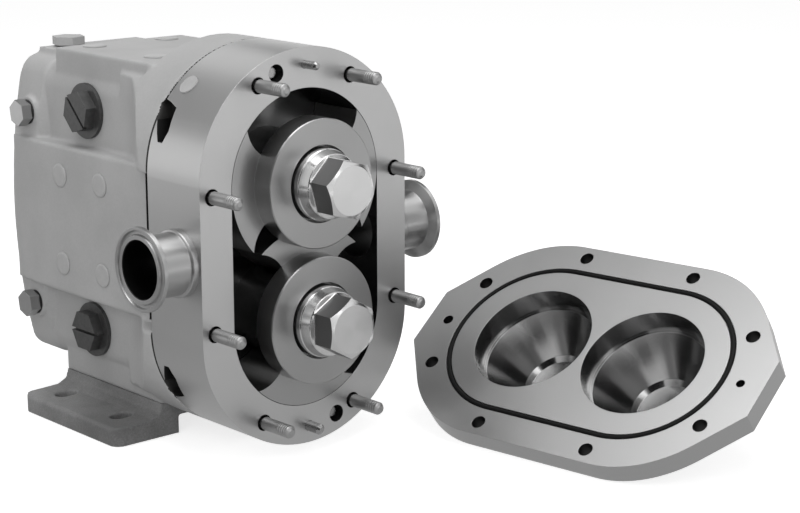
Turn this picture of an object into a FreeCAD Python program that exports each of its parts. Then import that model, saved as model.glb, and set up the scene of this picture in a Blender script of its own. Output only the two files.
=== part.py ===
# Twin-shaft rotary lobe pump with its front cover taken off and lying beside it.
# Frame: X across the pump along the ports, Y from the front face back to the drive end, Z up.
# The origin is the centre of the foot's underside. Millimetres and degrees.
import FreeCAD, Part
import math
import os

import Sketcher
from FreeCAD import Placement, Rotation, Vector

doc = FreeCAD.newDocument("lobe_pump")
sheet = doc.addObject("Spreadsheet::Sheet", "Sizes")
next_row = [1]
subparts = []


class Size:
    """A number that remembers its formula in the sheet."""

    def __init__(self, value, formula):
        self.value, self.formula = float(value), formula

    def __float__(self):
        return self.value

    def __add__(self, other):
        return Size(self.value + float(other), "(%s + %s)" % (self.formula, formula_of(other)))

    def __radd__(self, other):
        return self + other

    def __sub__(self, other):
        return Size(self.value - float(other), "(%s - %s)" % (self.formula, formula_of(other)))

    def __rsub__(self, other):
        return Size(float(other) - self.value, "(%s - %s)" % (formula_of(other), self.formula))

    def __mul__(self, other):
        return Size(self.value * float(other), "(%s * %s)" % (self.formula, formula_of(other)))

    def __rmul__(self, other):
        return self * other

    def __truediv__(self, other):
        return Size(self.value / float(other), "(%s / %s)" % (self.formula, formula_of(other)))

    def __neg__(self):
        return Size(-self.value, "(-1 * %s)" % self.formula)


def formula_of(item):
    return item.formula if isinstance(item, Size) else repr(float(item))


def cosine(angle):
    return Size(math.cos(math.radians(float(angle))), "cos(%s)" % formula_of(angle))


def sine(angle):
    return Size(math.sin(math.radians(float(angle))), "sin(%s)" % formula_of(angle))


def cell(alias, value, meaning):
    """Writes one driving size to the sheet and gives it back as a Size."""
    row = next_row[0]
    sheet.set("A%d" % row, repr(float(value)))
    sheet.setAlias("A%d" % row, alias)
    sheet.set("B%d" % row, meaning)
    next_row[0] += 1
    return Size(value, "Sizes.%s" % alias)


# Driving sizes of the pump head
ground_gap = cell("ground_gap", 7.5, "round end of the head above the floor")
face_front = cell("face_front", 142, "front face of the pump body ahead of the foot's centre")
shaft_offset = cell("shaft_offset", 42, "each shaft above or below the port axis")
side_flat = cell("side_flat", 1.5, "flat side of the head inside its round end")
side_blend = cell("side_blend", 70, "rounding between a flat side and a round end")
body_wall = cell("body_wall", 24.5, "wall of the pump body round the rotor bore")
body_depth = cell("body_depth", 52, "pump body, front face to back face")
chamber_radius = cell("chamber_radius", 56, "rotor bore")
chamber_depth = cell("chamber_depth", 40, "rotor bore depth")
stud_margin = cell("stud_margin", 10.5, "cover studs inside the round end")
side_stud_drop = cell("side_stud_drop", 1, "side studs nearer to the port axis than the shafts")
stud_step = cell("stud_step", 60, "angle between the cover studs")
stud_radius = cell("stud_radius", 4, "cover stud")
stud_reach = cell("stud_reach", 26.4, "cover stud ahead of the face")
stud_anchor = cell("stud_anchor", 22, "cover stud inside the body")
stud_neck_radius = cell("stud_neck_radius", 3.2, "relief groove at the root of a stud")
recess_radius = cell("recess_radius", 5, "countersunk hole round each stud")
recess_depth = cell("recess_depth", 7, "depth of the hole round each stud")
upper_dowel_radius = cell("upper_dowel_radius", 2.5, "small dowel at the top")
lower_dowel_radius = cell("lower_dowel_radius", 3.3, "larger dowel at the bottom")
dowel_reach = cell("dowel_reach", 12, "dowels ahead of the face")
dowel_anchor = cell("dowel_anchor", 14, "dowels inside the body")
retainer_angle = cell("retainer_angle", 108, "body retaining nut round from the port side")
retainer_bore = cell("retainer_bore", 5.4, "hole that holds a retaining nut")
retainer_depth = cell("retainer_depth", 16, "depth of that hole")
retainer_stud_radius = cell("retainer_stud_radius", 3, "body retaining stud")
retainer_stud_anchor = cell("retainer_stud_anchor", 18, "retaining stud inside the gear case")
press_gap = cell("press_gap", 0.02, "radial clearance of pieces that are fixed together")
running_gap = cell("running_gap", 0.06, "radial clearance of a running fit")
rotor_gap = cell("rotor_gap", 0.3, "rotor to chamber and hub")
face_gap = cell("face_gap", 0.3, "axial running clearance")

# Driving sizes of the ports
port_depth = cell("port_depth", 22.2, "port axis behind the front face")
port_bore = cell("port_bore", 17.5, "port inside radius")
port_wall = cell("port_wall", 1.55, "port tube wall")
ferrule_radius = cell("ferrule_radius", 25.25, "clamp ferrule rim")
ferrule_rim = cell("ferrule_rim", 2.9, "thickness of the rim at its edge")
ferrule_slope = cell("ferrule_slope", 2.3, "cone behind the rim")
port_reach = cell("port_reach", 28, "port face beyond the body's side")
port_collar = cell("port_collar", 1.6, "weld collar proud of the tube")
port_collar_length = cell("port_collar_length", 4, "weld collar along the tube")

# Driving sizes of the rotors and their nuts
disc_radius = cell("disc_radius", 39.4, "rotor barrel")
disc_reach = cell("disc_reach", 14.8, "rotor barrel ahead of the body face")
wing_tip_angle = cell("wing_tip_angle", 41.2, "half the angle of a wing at its outer arc")
wing_waist_angle = cell("wing_waist_angle", 32.8, "half the angle of a wing at the barrel")
wing_scoop = cell("wing_scoop", 1.8, "hollow of a wing's end face")
rotor_phase = cell("rotor_phase", 2.5, "rotors turned from square at rest")
recess_bore = cell("recess_bore", 23.6, "recess in the barrel round the nut")
recess_floor = cell("recess_floor", 4.8, "web of the barrel ahead of the body face")
rotor_hub_radius = cell("rotor_hub_radius", 19.5, "rotor hub that enters the fixed hub")
rotor_hub_length = cell("rotor_hub_length", 11, "rotor hub behind the body face")
collar_radius = cell("collar_radius", 22, "collar of the rotor nut")
collar_front = cell("collar_front", 19, "collar's front edge ahead of the body face")
hex_radius = cell("hex_radius", 18.85, "rotor nut across corners, half")
hex_start = cell("hex_start", 26.6, "hexagon's root ahead of the body face")
nut_face = cell("nut_face", 43.1, "rotor nut's face ahead of the body face")
nut_chamfer = cell("nut_chamfer", 2.2, "bevel at the nut's corners")
washer_thick = cell("washer_thick", 2.4, "disc spring under the nut")
drive_nut_turn = cell("drive_nut_turn", 30, "drive nut's hexagon turned")
driven_nut_turn = cell("driven_nut_turn", 45, "driven nut's hexagon turned")

# Driving sizes of the fixed hubs and the shaft seals
hub_bore = cell("hub_bore", 20.6, "bore of the fixed hub")
seal_shoulder = cell("seal_shoulder", 26, "seat shoulder behind the front face")
seal_passage = cell("seal_passage", 17, "hole behind the seat")
seat_thick = cell("seat_thick", 6, "fixed seal seat")
seal_bore_radius = cell("seal_bore_radius", 16.4, "bore of the fixed seat")
seal_ring_radius = cell("seal_ring_radius", 19, "turning seal ring")

# Driving sizes of the shafts
thread_radius = cell("thread_radius", 9.5, "threaded nose of a shaft")
thread_reach = cell("thread_reach", 36, "threaded nose ahead of the body face")
nose_radius = cell("nose_radius", 13, "rotor seat of a shaft")
seal_journal = cell("seal_journal", 15, "shaft under the seals")
lip_journal = cell("lip_journal", 18, "shaft under the front lip seal")
lip_journal_start = cell("lip_journal_start", 68, "front of that journal behind the face")
thrust_radius = cell("thrust_radius", 20.4, "shoulder against the front bearing")
bearing_seat = cell("bearing_seat", 17.5, "bearing seats of a shaft")
gear_seat = cell("gear_seat", 17, "timing gear seat")
lock_thread = cell("lock_thread", 16.4, "thread of the gear lock nut")
rear_journal = cell("rear_journal", 16.3, "drive shaft under its rear lip seal")
coupling_radius = cell("coupling_radius", 15.875, "drive shaft extension")
extension_start = cell("extension_start", 252, "front of the extension behind the face")
shaft_end = cell("shaft_end", 308, "drive shaft's end behind the face")
driven_end = cell("driven_end", 239, "driven shaft's end behind the face")
coupling_key = cell("coupling_key", 6.35, "keyway of the drive end")
coupling_key_start = cell("coupling_key_start", 262, "front of that keyway behind the face")
coupling_key_length = cell("coupling_key_length", 40, "length of that keyway")
gear_key = cell("gear_key", 6, "square key under a timing gear")
gear_key_length = cell("gear_key_length", 16, "length of a gear key")
end_chamfer = cell("end_chamfer", 1.2, "bevel at shaft ends")

# Driving sizes of the bearings, gears and their retainers
bearing_front = cell("bearing_front", 88, "front bearing behind the face")
bearing_width = cell("bearing_width", 22, "width of a bearing")
bearing_rear = cell("bearing_rear", 188, "rear bearing behind the face")
cone_radius = cell("cone_radius", 22, "roller track of the inner ring")
cone_rib = cell("cone_rib", 1.6, "ribs of the inner ring")
roller_radius = cell("roller_radius", 2.9, "bearing roller")
roller_count = 12
cup_track = cell("cup_track", 28, "roller track of the outer ring")
cup_radius = cell("cup_radius", 33, "outer ring of a bearing")
spacer_radius = cell("spacer_radius", 21, "sleeve between the bearings")
gear_start = cell("gear_start", 211, "front of the timing gears")
gear_width = cell("gear_width", 20, "width of the timing gears")
gear_teeth = 28
gear_backlash = cell("gear_backlash", 0.35, "thinning of each tooth")
gear_hub_radius = cell("gear_hub_radius", 24, "boss of a timing gear")
lock_nut_radius = cell("lock_nut_radius", 23, "gear lock nut")
lock_nut_width = cell("lock_nut_width", 7.5, "gear lock nut")
retainer_plate_radius = cell("retainer_plate_radius", 41, "front bearing retainer")
retainer_plate_start = cell("retainer_plate_start", 76, "front of the retainer behind the face")
lip_seal_radius = cell("lip_seal_radius", 25, "outside of the front lip seal")
lip_seal_width = cell("lip_seal_width", 7, "lip seals")
slinger_radius = cell("slinger_radius", 27, "rubber slinger")
slinger_width = cell("slinger_width", 5, "rubber slinger")
rear_seal_radius = cell("rear_seal_radius", 24, "outside of the rear lip seal")

# Driving sizes of the gear case
flange_back = cell("flange_back", 86, "back of the case's front band")
case_half_width = cell("case_half_width", 52.6, "side of the case between its pads")
case_step = cell("case_step", 22.5, "top of the case below the round end of the head")
case_corner = cell("case_corner", 18, "corner radius of the case")
trunk_lap = cell("trunk_lap", 8, "case's trunk inside the bands at its ends")
band_flat = cell("band_flat", 8, "front band before its sides draw in")
case_shoulder = cell("case_shoulder", 118, "where the front band has run into the case")
rear_band_start = cell("rear_band_start", 200, "front of the rear band")
rear_band_half_width = cell("rear_band_half_width", 62, "side of the rear band at half height")
rear_bow = cell("rear_bow", 412, "radius of the bowed sides of the rear band")
rear_band_corner = cell("rear_band_corner", 14, "corner radius of the rear band")
rear_band_slope = cell("rear_band_slope", 6, "bevel of the rear band")
case_rear = cell("case_rear", 234, "back face of the case")
side_pad_half_width = cell("side_pad_half_width", 64.5, "side pads from the centre")
side_pad_half_height = cell("side_pad_half_height", 48.5, "side pads up and down")
pad_front = cell("pad_front", 70.7, "front end of the side pads")
top_pad_half_width = cell("top_pad_half_width", 50, "top and bottom pads")
top_pad_proud = cell("top_pad_proud", 8, "top and bottom pads above the case")
top_pad_front = cell("top_pad_front", 87, "front end of the top and bottom pads")
top_pad_back = cell("top_pad_back", 195, "back end of the top and bottom pads")
cavity_radius = cell("cavity_radius", 47, "open space behind the pump body")
gear_room_radius = cell("gear_room_radius", 48, "gear chamber about each shaft")
gear_room_front = cell("gear_room_front", 210.5, "front wall of the gear chamber")
sump_radius = cell("sump_radius", 43, "oil sump about each shaft")
sump_front = cell("sump_front", 112, "front of the sump")
sump_back = cell("sump_back", 186, "back of the sump")
notch_low = cell("notch_low", 68.5, "pry notch from the port axis")
notch_high = cell("notch_high", 92, "pry notch from the port axis")
notch_ahead = cell("notch_ahead", 14.8, "pry notch ahead of the body's back")
notch_behind = cell("notch_behind", 3.5, "pry notch behind the body's back")
notch_floor = cell("notch_floor", 56, "floor of the notch from the centre")
seam_gap = cell("seam_gap", 2, "open seam between the body and the case")
seam_depth = cell("seam_depth", 6, "depth of that seam from the outside")
ledge_half_width = cell("ledge_half_width", 39, "breather ledge")
ledge_proud = cell("ledge_proud", 4, "breather ledge above the case")
cover_half_width = cell("cover_half_width", 58, "rear cover")
cover_margin = cell("cover_margin", 4, "rear cover inside the case's top")
cover_corner = cell("cover_corner", 14, "rear cover's corners")
rear_cover_thick = cell("rear_cover_thick", 8, "rear cover")
rear_boss_radius = cell("rear_boss_radius", 31, "boss round the drive shaft's seal")
rear_boss_proud = cell("rear_boss_proud", 8, "that boss behind the cover")
rear_pocket_radius = cell("rear_pocket_radius", 28, "pocket for a lock nut")
rear_pocket_depth = cell("rear_pocket_depth", 5.6, "pocket for a lock nut")
edge_round = cell("edge_round", 2, "edges of the rear cover")

# Driving sizes of plugs, bolts and the foot
pad_plug_radius = cell("pad_plug_radius", 7.7, "plugs in the spare mounting holes")
pad_plug_proud = cell("pad_plug_proud", 1.0, "those plugs above their pad")
mount_hole_radius = cell("mount_hole_radius", 5, "threaded mounting holes")
mount_hole_depth = cell("mount_hole_depth", 9, "threaded mounting holes")
side_plug_low = cell("side_plug_low", 29, "side holes above and below the centre")
side_plug_front = cell("side_plug_front", 126, "front side holes behind the face")
side_plug_back = cell("side_plug_back", 171.5, "back side holes behind the face")
top_hole_half = cell("top_hole_half", 28.4, "top and bottom holes from the centre")
top_hole_front = cell("top_hole_front", 112.3, "front top holes behind the face")
top_hole_back = cell("top_hole_back", 181, "back top holes behind the face")
cleanout_depth = cell("cleanout_depth", 154.7, "large plugs behind the face")
cleanout_height = cell("cleanout_height", 71.7, "large plugs above and below the centre")
cleanout_flange = cell("cleanout_flange", 17.8, "flange of a large plug")
cleanout_flange_thick = cell("cleanout_flange_thick", 2.4, "flange of a large plug")
cleanout_hex = cell("cleanout_hex", 13.8, "hexagon of a large plug, half across corners")
cleanout_hex_thick = cell("cleanout_hex_thick", 7.4, "hexagon of a large plug")
cleanout_bore = cell("cleanout_bore", 12, "hole of a large plug")
slot_width = cell("slot_width", 2, "driver slot in a large plug")
slot_depth = cell("slot_depth", 3, "driver slot in a large plug")
oil_plug_depth = cell("oil_plug_depth", 217, "oil plugs behind the face")
oil_plug_height = cell("oil_plug_height", 64.2, "oil plugs above and below the centre")
oil_boss_radius = cell("oil_boss_radius", 10.3, "boss of an oil plug")
oil_boss_face = cell("oil_boss_face", 58.8, "face of that boss from the centre")
oil_hex = cell("oil_hex", 8.8, "oil plug, half across corners")
oil_hex_thick = cell("oil_hex_thick", 7, "oil plug's head")
oil_stem = cell("oil_stem", 4.8, "oil plug's thread")
oil_seal_thick = cell("oil_seal_thick", 1.6, "seal ring under an oil plug")
breather_x = cell("breather_x", 22, "breather from the centre")
breather_depth = cell("breather_depth", 222, "breather behind the face")
breather_hex = cell("breather_hex", 11, "breather's hexagon, half across corners")
breather_stem = cell("breather_stem", 6.5, "breather's neck")
breather_lift = cell("breather_lift", 1.2, "breather's hexagon above the ledge")
breather_thick = cell("breather_thick", 5.4, "breather's hexagon")
plug_stem_length = cell("plug_stem_length", 8, "threads of plugs inside the case")
plug_hole_depth = cell("plug_hole_depth", 26, "plug holes, through to the sump or the gear chamber")
edge_plug_length = cell("edge_plug_length", 6, "plugs in the pump body's edge")
body_plug_angle = cell("body_plug_angle", 133, "plug in the pump body's edge, round from the port")
body_plug_depth = cell("body_plug_depth", 41, "that plug behind the face")
body_plug_radius = cell("body_plug_radius", 6.5, "that plug")
body_plug_proud = cell("body_plug_proud", 0.6, "that plug proud of the body")
foot_half_width = cell("foot_half_width", 84.5, "foot across")
foot_half_length = cell("foot_half_length", 54.5, "foot front to back")
foot_thick = cell("foot_thick", 12, "foot's flange")
foot_neck_half = cell("foot_neck_half", 49, "foot's neck at the case")
foot_neck_root = cell("foot_neck_root", 57, "foot's neck at its flange")
foot_slot_x = cell("foot_slot_x", 65, "foot slots from the centre")
foot_slot_y = cell("foot_slot_y", 32, "foot slots front and back")
foot_slot_radius = cell("foot_slot_radius", 5.2, "half the width of a foot slot")
foot_slot_length = cell("foot_slot_length", 15, "foot slot end to end")
foot_corner = cell("foot_corner", 8, "foot's corners")
foot_relief_half = cell("foot_relief_half", 36, "hollow under the foot")
foot_relief_depth = cell("foot_relief_depth", 12, "hollow under the foot")
foot_bolt_head = cell("foot_bolt_head", 7.5, "head of a foot bolt")
foot_bolt_head_thick = cell("foot_bolt_head_thick", 6.5, "head of a foot bolt")
foot_bolt_radius = cell("foot_bolt_radius", 4.9, "foot bolt")
cover_bolt_radius = cell("cover_bolt_radius", 3, "rear cover bolt")
cover_bolt_head = cell("cover_bolt_head", 4.1, "rear cover screw's countersunk head")
cover_bolt_sink = cell("cover_bolt_sink", 2.2, "depth of that head")
cover_bolt_socket = cell("cover_bolt_socket", 1.8, "socket of that head, half across corners")
cover_bolt_x = cell("cover_bolt_x", 43, "rear cover screws across, at the corners")
cover_bolt_middle = cell("cover_bolt_middle", 51.7, "rear cover screws across, at half height")
cover_bolt_inset = cell("cover_bolt_inset", 14, "upper and lower cover screws inside the cover")
cover_bolt_length = cell("cover_bolt_length", 20, "rear cover screws")
cover_tap_depth = cell("cover_tap_depth", 16, "threaded holes of the rear cover screws")
screw_radius = cell("screw_radius", 2, "retainer screw")
screw_head = cell("screw_head", 3.4, "retainer screw's head")
screw_circle = cell("screw_circle", 37, "retainer screws about the shaft")

# Driving sizes of the loose front cover
lid_thick = cell("lid_thick", 14, "front cover's plate")
lid_tip_reach = cell("lid_tip_reach", 5, "flat end of the plate beyond the round end of the head")
lid_facet = cell("lid_facet", 52, "slope of the corner facets round from the side")
lid_bore_gap = cell("lid_bore_gap", 0.6, "recess round a rotor barrel")
lid_bore_depth = cell("lid_bore_depth", 16.5, "straight part of the recess")
lid_nose_bore = cell("lid_nose_bore", 22.5, "bottom of the recess")
lid_recess_depth = cell("lid_recess_depth", 47, "whole depth of the recess")
lid_wall = cell("lid_wall", 7, "wall of a dome")
dome_bevel = cell("dome_bevel", 3.5, "bevel at the end of a dome")
lid_hole = cell("lid_hole", 4.6, "stud hole")
ring_margin = cell("ring_margin", 12.2, "seal groove inside the studs")
ring_radius = cell("ring_radius", 1.6, "seal ring's section")
groove_half = cell("groove_half", 1.9, "half the width of the seal groove")
groove_depth = cell("groove_depth", 2.4, "depth of the seal groove")
lid_x = cell("lid_x", 146, "loose cover's centre across")
lid_y = cell("lid_y", -95, "loose cover's centre behind the pump face")
lid_turn = cell("lid_turn", -82.7, "heading of the loose cover's long axis")

doc.recompute()

# Derived places, all in the pump's frame
face = -face_front
body_end_radius = chamber_radius + body_wall
body_half_width = body_end_radius - side_flat
head_half_height = shaft_offset + body_end_radius
centre_height = head_half_height + ground_gap
bolt_circle = body_end_radius - stud_margin
ring_circle = bolt_circle - ring_margin
ferrule_face = body_half_width + port_reach
case_half_height = head_half_height - case_step
top_pad_height = case_half_height + top_pad_proud
ledge_height = case_half_height + ledge_proud
cover_half_height = case_half_height - cover_margin
lid_tip = head_half_height + lid_tip_reach
lid_bore = disc_radius + lid_bore_gap
upper = centre_height + shaft_offset
lower = centre_height - shaft_offset
wing_radius = chamber_radius - rotor_gap
wing_bore = shaft_offset * 2 - chamber_radius + rotor_gap
hub_radius = wing_bore - rotor_gap
tube_radius = port_bore + port_wall
case_back = face + case_rear
cover_back = case_back + rear_cover_thick
boss_back = cover_back + rear_boss_proud
lid_depth = lid_recess_depth + lid_wall


def back(distance):
    """A place behind the pump body's front face."""
    return face + distance


def bind(thing, name, value):
    if isinstance(value, Size):
        thing.setExpression(name, value.formula)
    else:
        setattr(thing, name, float(value))


def move(thing, x, y, z, rotation=None):
    thing.Placement = Placement(Vector(float(x), float(y), float(z)), rotation or Rotation())
    for axis, value in zip("xyz", (x, y, z)):
        if isinstance(value, Size):
            thing.setExpression("Placement.Base." + axis, value.formula)
    return thing


def heading(along):
    """Turns a piece made along +Z so that it runs along another axis."""
    return {
        "X": Rotation(Vector(0, 1, 0), 90),
        "-X": Rotation(Vector(0, 1, 0), -90),
        "Y": Rotation(Vector(1, 0, 0), -90),
        "-Y": Rotation(Vector(1, 0, 0), 90),
        "Z": Rotation(),
        "-Z": Rotation(Vector(1, 0, 0), 180),
    }[along]


def rod(name, radius, length, x, y, z, along="Y"):
    thing = doc.addObject("Part::Cylinder", name)
    bind(thing, "Radius", radius)
    bind(thing, "Height", length)
    return move(thing, x, y, z, heading(along))


def hexagon(name, radius, length, x, y, z, along="Y", turn=0):
    thing = doc.addObject("Part::Prism", name)
    thing.Polygon = 6
    bind(thing, "Circumradius", radius)
    bind(thing, "Height", length)
    return move(thing, x, y, z, heading(along) * Rotation(Vector(0, 0, 1), float(turn)))


def block(name, x_low, x_high, y_low, y_high, z_low, z_high):
    thing = doc.addObject("Part::Box", name)
    bind(thing, "Length", x_high - x_low)
    bind(thing, "Width", y_high - y_low)
    bind(thing, "Height", z_high - z_low)
    return move(thing, x_low, y_low, z_low)


def fuse(name, things):
    thing = doc.addObject("Part::MultiFuse", name)
    thing.Shapes = list(things)
    thing.Refine = True
    return thing


def common(name, things):
    thing = doc.addObject("Part::MultiCommon", name)
    thing.Shapes = list(things)
    return thing


def cut(name, base, tools):
    tools = list(tools)
    thing = doc.addObject("Part::Cut", name)
    thing.Base = base
    thing.Tool = tools[0] if len(tools) == 1 else fuse(name + "_tool", tools)
    return thing


def group(name, things):
    thing = doc.addObject("Part::Compound", name)
    thing.Links = list(things)
    return thing


def keep(thing, node):
    """Names a finished sub-part. Its label is its file's name."""
    thing.Label = node
    subparts.append(thing)
    return thing


def sketch_in(body, points):
    """A closed outline in the body's XY plane, each corner held by two sizes."""
    sketch = body.newObject("Sketcher::SketchObject", body.Name + "_outline")
    plane = [item for item in body.Origin.OriginFeatures if item.Role == "XY_Plane"][0]
    sketch.AttachmentSupport = [(plane, "")]
    sketch.MapMode = "FlatFace"
    corners = [Vector(float(u), float(v), 0) for u, v in points]
    for here, there in zip(corners, corners[1:] + corners[:1]):
        sketch.addGeometry(Part.LineSegment(here, there), False)
    for index, (u, v) in enumerate(points):
        following = (index + 1) % len(points)
        sketch.addConstraint(Sketcher.Constraint("Coincident", index, 2, following, 1))
        for kind, value in (("DistanceX", u), ("DistanceY", v)):
            number = sketch.addConstraint(Sketcher.Constraint(kind, -1, 1, index, 1, float(value)))
            if isinstance(value, Size):
                sketch.setExpression("Constraints[%d]" % number, value.formula)
    return sketch


def turned(name, profile, x, y, z, along="Y"):
    """A lathe-turned piece: its profile is (distance along the axis, radius) corners."""
    body = doc.addObject("PartDesign::Body", name)
    sketch = sketch_in(body, [(radius, distance) for distance, radius in profile])
    turning = body.newObject("PartDesign::Revolution", name + "_turning")
    turning.Profile = sketch
    turning.ReferenceAxis = (sketch, ["V_Axis"])
    turning.Angle = 360
    rotation = {
        "Y": Rotation(),
        "-Y": Rotation(Vector(0, 0, 1), 180),
        "X": Rotation(Vector(0, 0, 1), -90),
        "-X": Rotation(Vector(0, 0, 1), 90),
        "Z": Rotation(Vector(1, 0, 0), 90),
        "-Z": Rotation(Vector(1, 0, 0), -90),
    }[along]
    return move(body, x, y, z, rotation)


def prism(name, along, outline, start, length):
    """A padded outline: (X, Y) corners along Z, (Y, Z) along X, or (X, Z) along -Y."""
    body = doc.addObject("PartDesign::Body", name)
    sketch = sketch_in(body, outline)
    pad = body.newObject("PartDesign::Pad", name + "_pad")
    pad.Profile = sketch
    bind(pad, "Length", length)
    if along == "Z":
        return move(body, 0, 0, start)
    if along == "X":
        return move(body, start, 0, 0, Rotation(Vector(1, 1, 1), 120))
    return move(body, 0, start, 0, Rotation(Vector(1, 0, 0), 90))


def edges_where(thing, test):
    doc.recompute()
    return [number + 1 for number, edge in enumerate(thing.Shape.Edges) if test(edge)]


def rounded(name, base, radius, test):
    thing = doc.addObject("Part::Fillet", name)
    thing.Base = base
    thing.Edges = [(number, float(radius), float(radius)) for number in edges_where(base, test)]
    return thing


def bevelled(name, base, size, test):
    thing = doc.addObject("Part::Chamfer", name)
    thing.Base = base
    thing.Edges = [(number, float(size), float(size)) for number in edges_where(base, test)]
    return thing


def runs_along(axis):
    """A test for straight edges that run along one axis."""
    def test(edge):
        if edge.Curve.TypeId != "Part::GeomLine":
            return False
        direction = edge.Curve.Direction
        return abs(getattr(direction, axis)) > 0.999
    return test


def lies_at(axis, place):
    """A test for edges that lie wholly in one plane across an axis."""
    def test(edge):
        bounds = edge.BoundBox
        low, high = getattr(bounds, axis + "Min"), getattr(bounds, axis + "Max")
        return abs(low - float(place)) < 0.01 and abs(high - float(place)) < 0.01
    return test


def stadium(name, radius, y, length):
    """Two rods about the shafts and the block between them."""
    rods = [rod(name + "_end%d" % i, radius, length, 0, y, z) for i, z in enumerate((lower, upper))]
    middle = block(name + "_middle", -radius, radius, y, y + length, lower, upper)
    return fuse(name, rods + [middle])


def head_outline(name, y, length):
    """The pump head's outline: round ends about the shafts, cut flat at the sides."""
    full = stadium(name + "_full", body_end_radius, y, length)
    sides = block(
        name + "_sides", -body_half_width, body_half_width, y, y + length,
        lower - body_end_radius - 1, upper + body_end_radius + 1,
    )
    return rounded(name, common(name + "_sharp", [full, sides]), side_blend, runs_along("y"))


def rounded_bar(name, half_width, half_height, corner, y, length):
    bar = block(
        name + "_bar", -half_width, half_width, y, y + length,
        centre_height - half_height, centre_height + half_height,
    )
    return rounded(name, bar, corner, runs_along("y"))


def bowed_bar(name, half_width, half_height, corner, y, length):
    """A bar with bowed sides and rounded corners, as the rear band and the rear cover have."""
    bar = block(name + "_bar", -half_width, half_width, y, y + length,
                centre_height - half_height, centre_height + half_height)
    bows = [rod("%s_bow%d" % (name, i), rear_bow, length, (rear_bow - half_width) * side, y,
                centre_height) for i, side in enumerate((1, -1))]
    return rounded(name, common(name + "_bowed", [bar] + bows), corner, runs_along("y"))


def on_circle(circle, angle, shaft, sign=1):
    """A place at an angle round a shaft, seen from the front, from the port side up."""
    return cosine(angle) * circle, shaft + sine(angle) * circle * sign


def stud_places():
    """The eight cover studs: four round each shaft on the outer side."""
    places = []
    for shaft, sign in ((upper, 1), (lower, -1)):
        for step in range(4):
            x, z = on_circle(bolt_circle, stud_step * step, shaft, sign)
            places.append((x, z - side_stud_drop * sign if step in (0, 3) else z))
    return places


def retainer_places():
    """The two body retaining nuts, upper left and lower right."""
    angle = retainer_angle
    return [on_circle(bolt_circle, angle, upper), on_circle(bolt_circle, 180 - angle, lower, -1)]


def dowel_places():
    return [(0, upper + bolt_circle), (0, lower - bolt_circle)]


def make_pump_body():
    """Stainless body: a bored block with two fixed hubs, two ports and its stud holes."""
    shell = head_outline("body_block", face, body_depth)
    chamber = stadium("body_chamber", chamber_radius, face, chamber_depth)
    shell = cut("body_shell", shell, [chamber])
    hub_length = chamber_depth - face_gap
    hubs = [
        rod("body_hub%d" % i, hub_radius, hub_length, 0, back(face_gap), z)
        for i, z in enumerate((lower, upper))
    ]
    casting = fuse("body_casting", [shell] + hubs)
    tools = []
    for i, z in enumerate((lower, upper)):
        tools.append(rod("body_hub_bore%d" % i, hub_bore, seal_shoulder, 0, face, z))
        passage = body_depth - seal_shoulder
        tools.append(rod("body_passage%d" % i, seal_passage, passage, 0, back(seal_shoulder), z))
    for i, along in enumerate(("X", "-X")):
        tools.append(rod("body_port%d" % i, port_bore, body_half_width, 0, back(port_depth),
                         centre_height, along))
    for i, (x, z) in enumerate(stud_places()):
        tools.append(rod("body_recess%d" % i, recess_radius, recess_depth, x, face, z))
        tools.append(rod("body_tap%d" % i, stud_radius + press_gap, stud_anchor, x, face, z))
    for i, (x, z) in enumerate(dowel_places()):
        radius = (upper_dowel_radius, lower_dowel_radius)[i] + press_gap
        tools.append(rod("body_dowel%d" % i, radius, dowel_anchor, x, face, z))
    for i, (x, z) in enumerate(retainer_places()):
        tools.append(rod("body_nut%d" % i, retainer_bore, retainer_depth, x, face, z))
        tools.append(rod("body_long%d" % i, retainer_stud_radius + press_gap, body_depth, x, face, z))
    for i, (x, z, turn) in enumerate(body_plug_places()):
        hole = rod("body_edge%d" % i, body_plug_radius + press_gap, edge_plug_length, x,
                   back(body_plug_depth), z)
        hole.Placement.Rotation = turn
        tools.append(hole)
    keep(cut("pump_body_solid", casting, tools + notch_tools("body")), "pump_body")


def notch_tools(name):
    """Four pry notches across the seam between the body and the case, narrower towards the ports."""
    joint = back(body_depth)
    outline = [
        (joint - notch_ahead * 0.78, notch_low), (joint - notch_ahead * 0.47, notch_low),
        (joint, notch_low + 12), (joint + notch_behind, notch_high - 2.5), (joint, notch_high),
        (joint - notch_ahead * 0.34, notch_high - 1), (joint - notch_ahead * 0.88, notch_high - 3.5),
        (joint - notch_ahead, notch_low + 7),
    ]
    tools = []
    for way in (1, -1):
        corners = [(y, centre_height + z * way) for y, z in outline]
        for side in (1, -1):
            start = notch_floor if side > 0 else -(notch_floor + body_wall)
            label = "%s_notch%d%d" % (name, side > 0, way > 0)
            tools.append(prism(label, "X", corners, start, body_wall))
    return tools


def body_plug_places():
    """Plugs let into the body's rounded edge, upper left and lower right."""
    places = []
    depth = body_end_radius - edge_plug_length + body_plug_proud
    for angle, shaft in ((body_plug_angle, upper), (body_plug_angle + 180, lower)):
        x, z = on_circle(depth, angle, shaft)
        outward = Vector(math.cos(math.radians(float(angle))), 0, math.sin(math.radians(float(angle))))
        places.append((x, z, Rotation(Vector(0, 0, 1), outward)))
    return places


def make_body_plugs():
    plugs = []
    for i, (x, z, turn) in enumerate(body_plug_places()):
        plug = rod("body_plug%d" % i, body_plug_radius, edge_plug_length, x, back(body_plug_depth), z)
        plug.Placement.Rotation = turn
        plugs.append(plug)
    keep(group("body_plug_group", plugs), "body_edge_plugs")


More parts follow.
